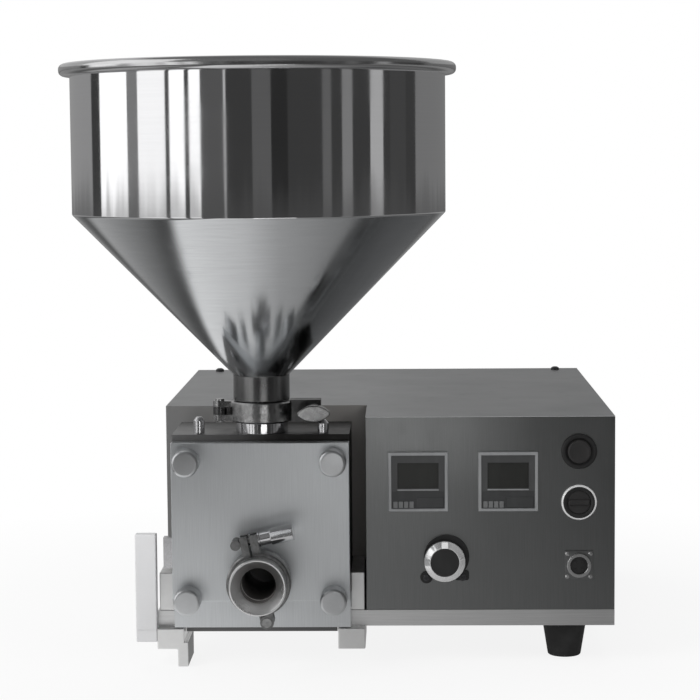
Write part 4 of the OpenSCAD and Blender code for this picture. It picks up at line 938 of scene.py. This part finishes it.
def makeDialPlate(p):
    bm = bmesh.new()
    for radius, place, thick in ((p["disc"], p["discAt"], p["discThick"]),
                                 (p["lug"], p["lugAt"], p["lugThick"])):
        join(bm, soften(rod(radius, thick, (*place, 0), 64), p["roundEdge"], 2, 50))
    corner = block(p["corner"], (*p["cornerAt"], p["corner"][2] / 2))
    upright = [e for e in corner.edges if abs(e.verts[0].co.z - e.verts[1].co.z) > mm]
    bmesh.ops.bevel(corner, geom=upright, offset=p["cornerRound"] * mm, offset_type="OFFSET", segments=4,
                    profile=0.5, affect="EDGES", material=-1)
    join(bm, soften(corner, p["cornerEdge"], 2, 50))
    bm.transform(onPanel("speed_knob"))
    finishPiece(bm, "dialPlate", "machine", ["gripPlastic"], ["dial_plate"], crease=35)
    heads = bmesh.new()
    x, z = p["lugAt"]
    for side in (1, -1):
        head = screwHead(p["screw"], 40, p["cross"])
        join(heads, head, onPanel("speed_knob") @ shifted(side * x, z, p["corner"][2]))
    finishPiece(heads, "dialScrews", "machine", ["screwBlack"])


makeDial(dial)
makeDialPlate(dialPlate)

# start button and mode switch: bezel, sleeve, nut and contact block behind the panel, and what moves in them.
# Sizes across are radii

bezels = dict(outer=14.3, round=1.5, band=12.9, high=2.6, hole=11.15, lip=1.9, cap=9.55, play=0.15, sleeve=20,
              plug=4, nut=14.8, nutThick=4, nutAt=-5.5, nutEdge=0.6, case=(30, 30, 20), caseEdge=1.4)
caps = dict(play=0.05, deep=12, wall=3.4, high=5.0, round=1.5, dish=0.8, disc=1.2, discRound=0.4,
            bar=(17.2, 4.4, 2.4), barAt=(0, 0, 1.6), barEdge=1.0, line=(6.5, 0.8, 0.2),
            lineAt=(-3.6, 0, 2.75))


def makeBezelBody(b, name, node, ringFinish):
    sleeve = b["hole"] - b["play"]
    outline = [(b["cap"], 0), (b["outer"] - 0.3, 0), (b["outer"], 0.3), (b["outer"], 0.9)]
    outline += arcPoints(b["outer"] - b["round"], b["high"] - b["round"], b["round"], 0, 90, 6)
    outline += [(b["hole"] + 0.1, b["high"]), (b["hole"] - 0.3, b["high"] - 0.35), (b["cap"] + 0.1, b["lip"])]
    inside = [(b["cap"], -b["sleeve"]), (sleeve, -b["sleeve"]), (sleeve, -0.02), (b["cap"], -0.02)]
    behind = -b["sleeve"] - b["plug"]
    bm = bmesh.new()
    ring = turned(outline)
    for face in ring.faces:
        place = face.calc_center_median() / mm
        face.material_index = 0 if math.hypot(place.x, place.y) > b["band"] else 2
    join(bm, ring, Matrix(), None)
    join(bm, turned(inside, 72), Matrix(), 1)
    join(bm, rod(sleeve, b["plug"], (0, 0, behind), 72), Matrix(), 1)
    join(bm, soften(rod(b["nut"], b["nutThick"], (0, 0, b["nutAt"]), 6), b["nutEdge"]), Matrix(), 1)
    join(bm, block(b["case"], (0, 0, behind - b["case"][2] / 2), b["caseEdge"]), Matrix(), 1)
    bm.transform(onPanel(node))
    finishPiece(bm, name, "machine", [ringFinish, "blackPlastic", "buttonRing"], [node], crease=35)


def makeCaps(c):
    r = bezels["cap"] - c["play"]
    foot = [(0, -c["deep"]), (r, -c["deep"])]
    cap = foot + [(r, c["wall"])] + arcPoints(r - c["round"], c["high"] - c["round"], c["round"], 0, 90, 5)
    bm = turned(cap + [(r - 2.4, c["high"] - 0.05), (0, c["high"] - c["dish"])])
    bm.transform(onPanel("start_button_cap"))
    finishPiece(bm, "startButtonCap", bodyOf["start_button_cap"], ["capPlastic"], ["start_button_cap"],
                crease=40)
    disc = foot + arcPoints(r - c["discRound"], c["disc"] - c["discRound"], c["discRound"], 0, 90, 3)
    bm = turned(disc + [(0, c["disc"])])
    join(bm, block(c["bar"], c["barAt"], c["barEdge"], 4))
    join(bm, block(c["line"], c["lineAt"]), Matrix(), 1)
    bm.transform(onPanel("mode_switch_handle"))
    finishPiece(bm, "modeSwitchHandle", bodyOf["mode_switch_handle"], ["capPlastic", "blackPlastic"],
                ["mode_switch_handle"], crease=35)


makeBezelBody(bezels, "startButtonBody", "start_button_body", "buttonRing")
makeBezelBody(bezels, "modeSwitchBody", "mode_switch", "switchRing")
makeCaps(caps)

# foot pedal socket: square plate with four screws, chromed collar, black insert with pins. Sizes across are
# radii, but for the plate's side

socket = dict(plate=23, thick=1.6, edge=0.4, collar=9.8, collarRound=0.5, bore=7.0, boreEdge=0.4, high=5,
              insert=3.4, body=8.6, back=22, pins=4, pinRing=4.2, pin=0.8, pinHigh=1.2, pinSunk=0.2,
              pinEdge=0.25, screwAt=9.3, screw=[(0, 0), (1.7, 0), (1.7, 0.4), (1.02, 0.9), (0, 1.0)],
              cross=(1.1, 0.22, 0.4))


def makeSocket(s):
    bore, high = s["bore"], s["high"]
    bm = block((s["plate"], s["plate"], s["thick"]), (0, 0, s["thick"] / 2), s["edge"])
    collar = [(bore, 0), (s["collar"], 0)]
    collar += arcPoints(s["collar"] - s["collarRound"], high - s["collarRound"], s["collarRound"], 0, 90, 4)
    collar += [(bore + s["boreEdge"], high), (bore, high - s["boreEdge"])]
    join(bm, turned(collar, 72), Matrix(), 1)
    insert = [(0, -s["back"]), (s["body"], -s["back"]), (s["body"], -0.1), (bore + 0.05, -0.1),
              (bore + 0.05, s["insert"] - 0.3), (bore - 0.4, s["insert"]), (0, s["insert"])]
    join(bm, turned(insert, 72), Matrix(), 2)
    for i in range(s["pins"]):
        turn = math.tau * (i + 0.5) / s["pins"]
        place = (s["pinRing"] * math.cos(turn), s["pinRing"] * math.sin(turn), s["insert"] - s["pinSunk"])
        join(bm, soften(rod(s["pin"], s["pinHigh"], place, 20), s["pinEdge"], 2, 50), Matrix(), 2)
    for x in (-s["screwAt"], s["screwAt"]):
        for y in (-s["screwAt"], s["screwAt"]):
            join(bm, screwHead(s["screw"], 32, s["cross"]), shifted(x, y, s["thick"]), 1)
    bm.transform(onPanel("pedal_socket"))
    finishes = ["socketPlate", "socketChrome", "gripPlastic"]
    finishPiece(bm, "pedalSocket", "machine", finishes, ["pedal_socket"], crease=35)


makeSocket(socket)
print("controls made")
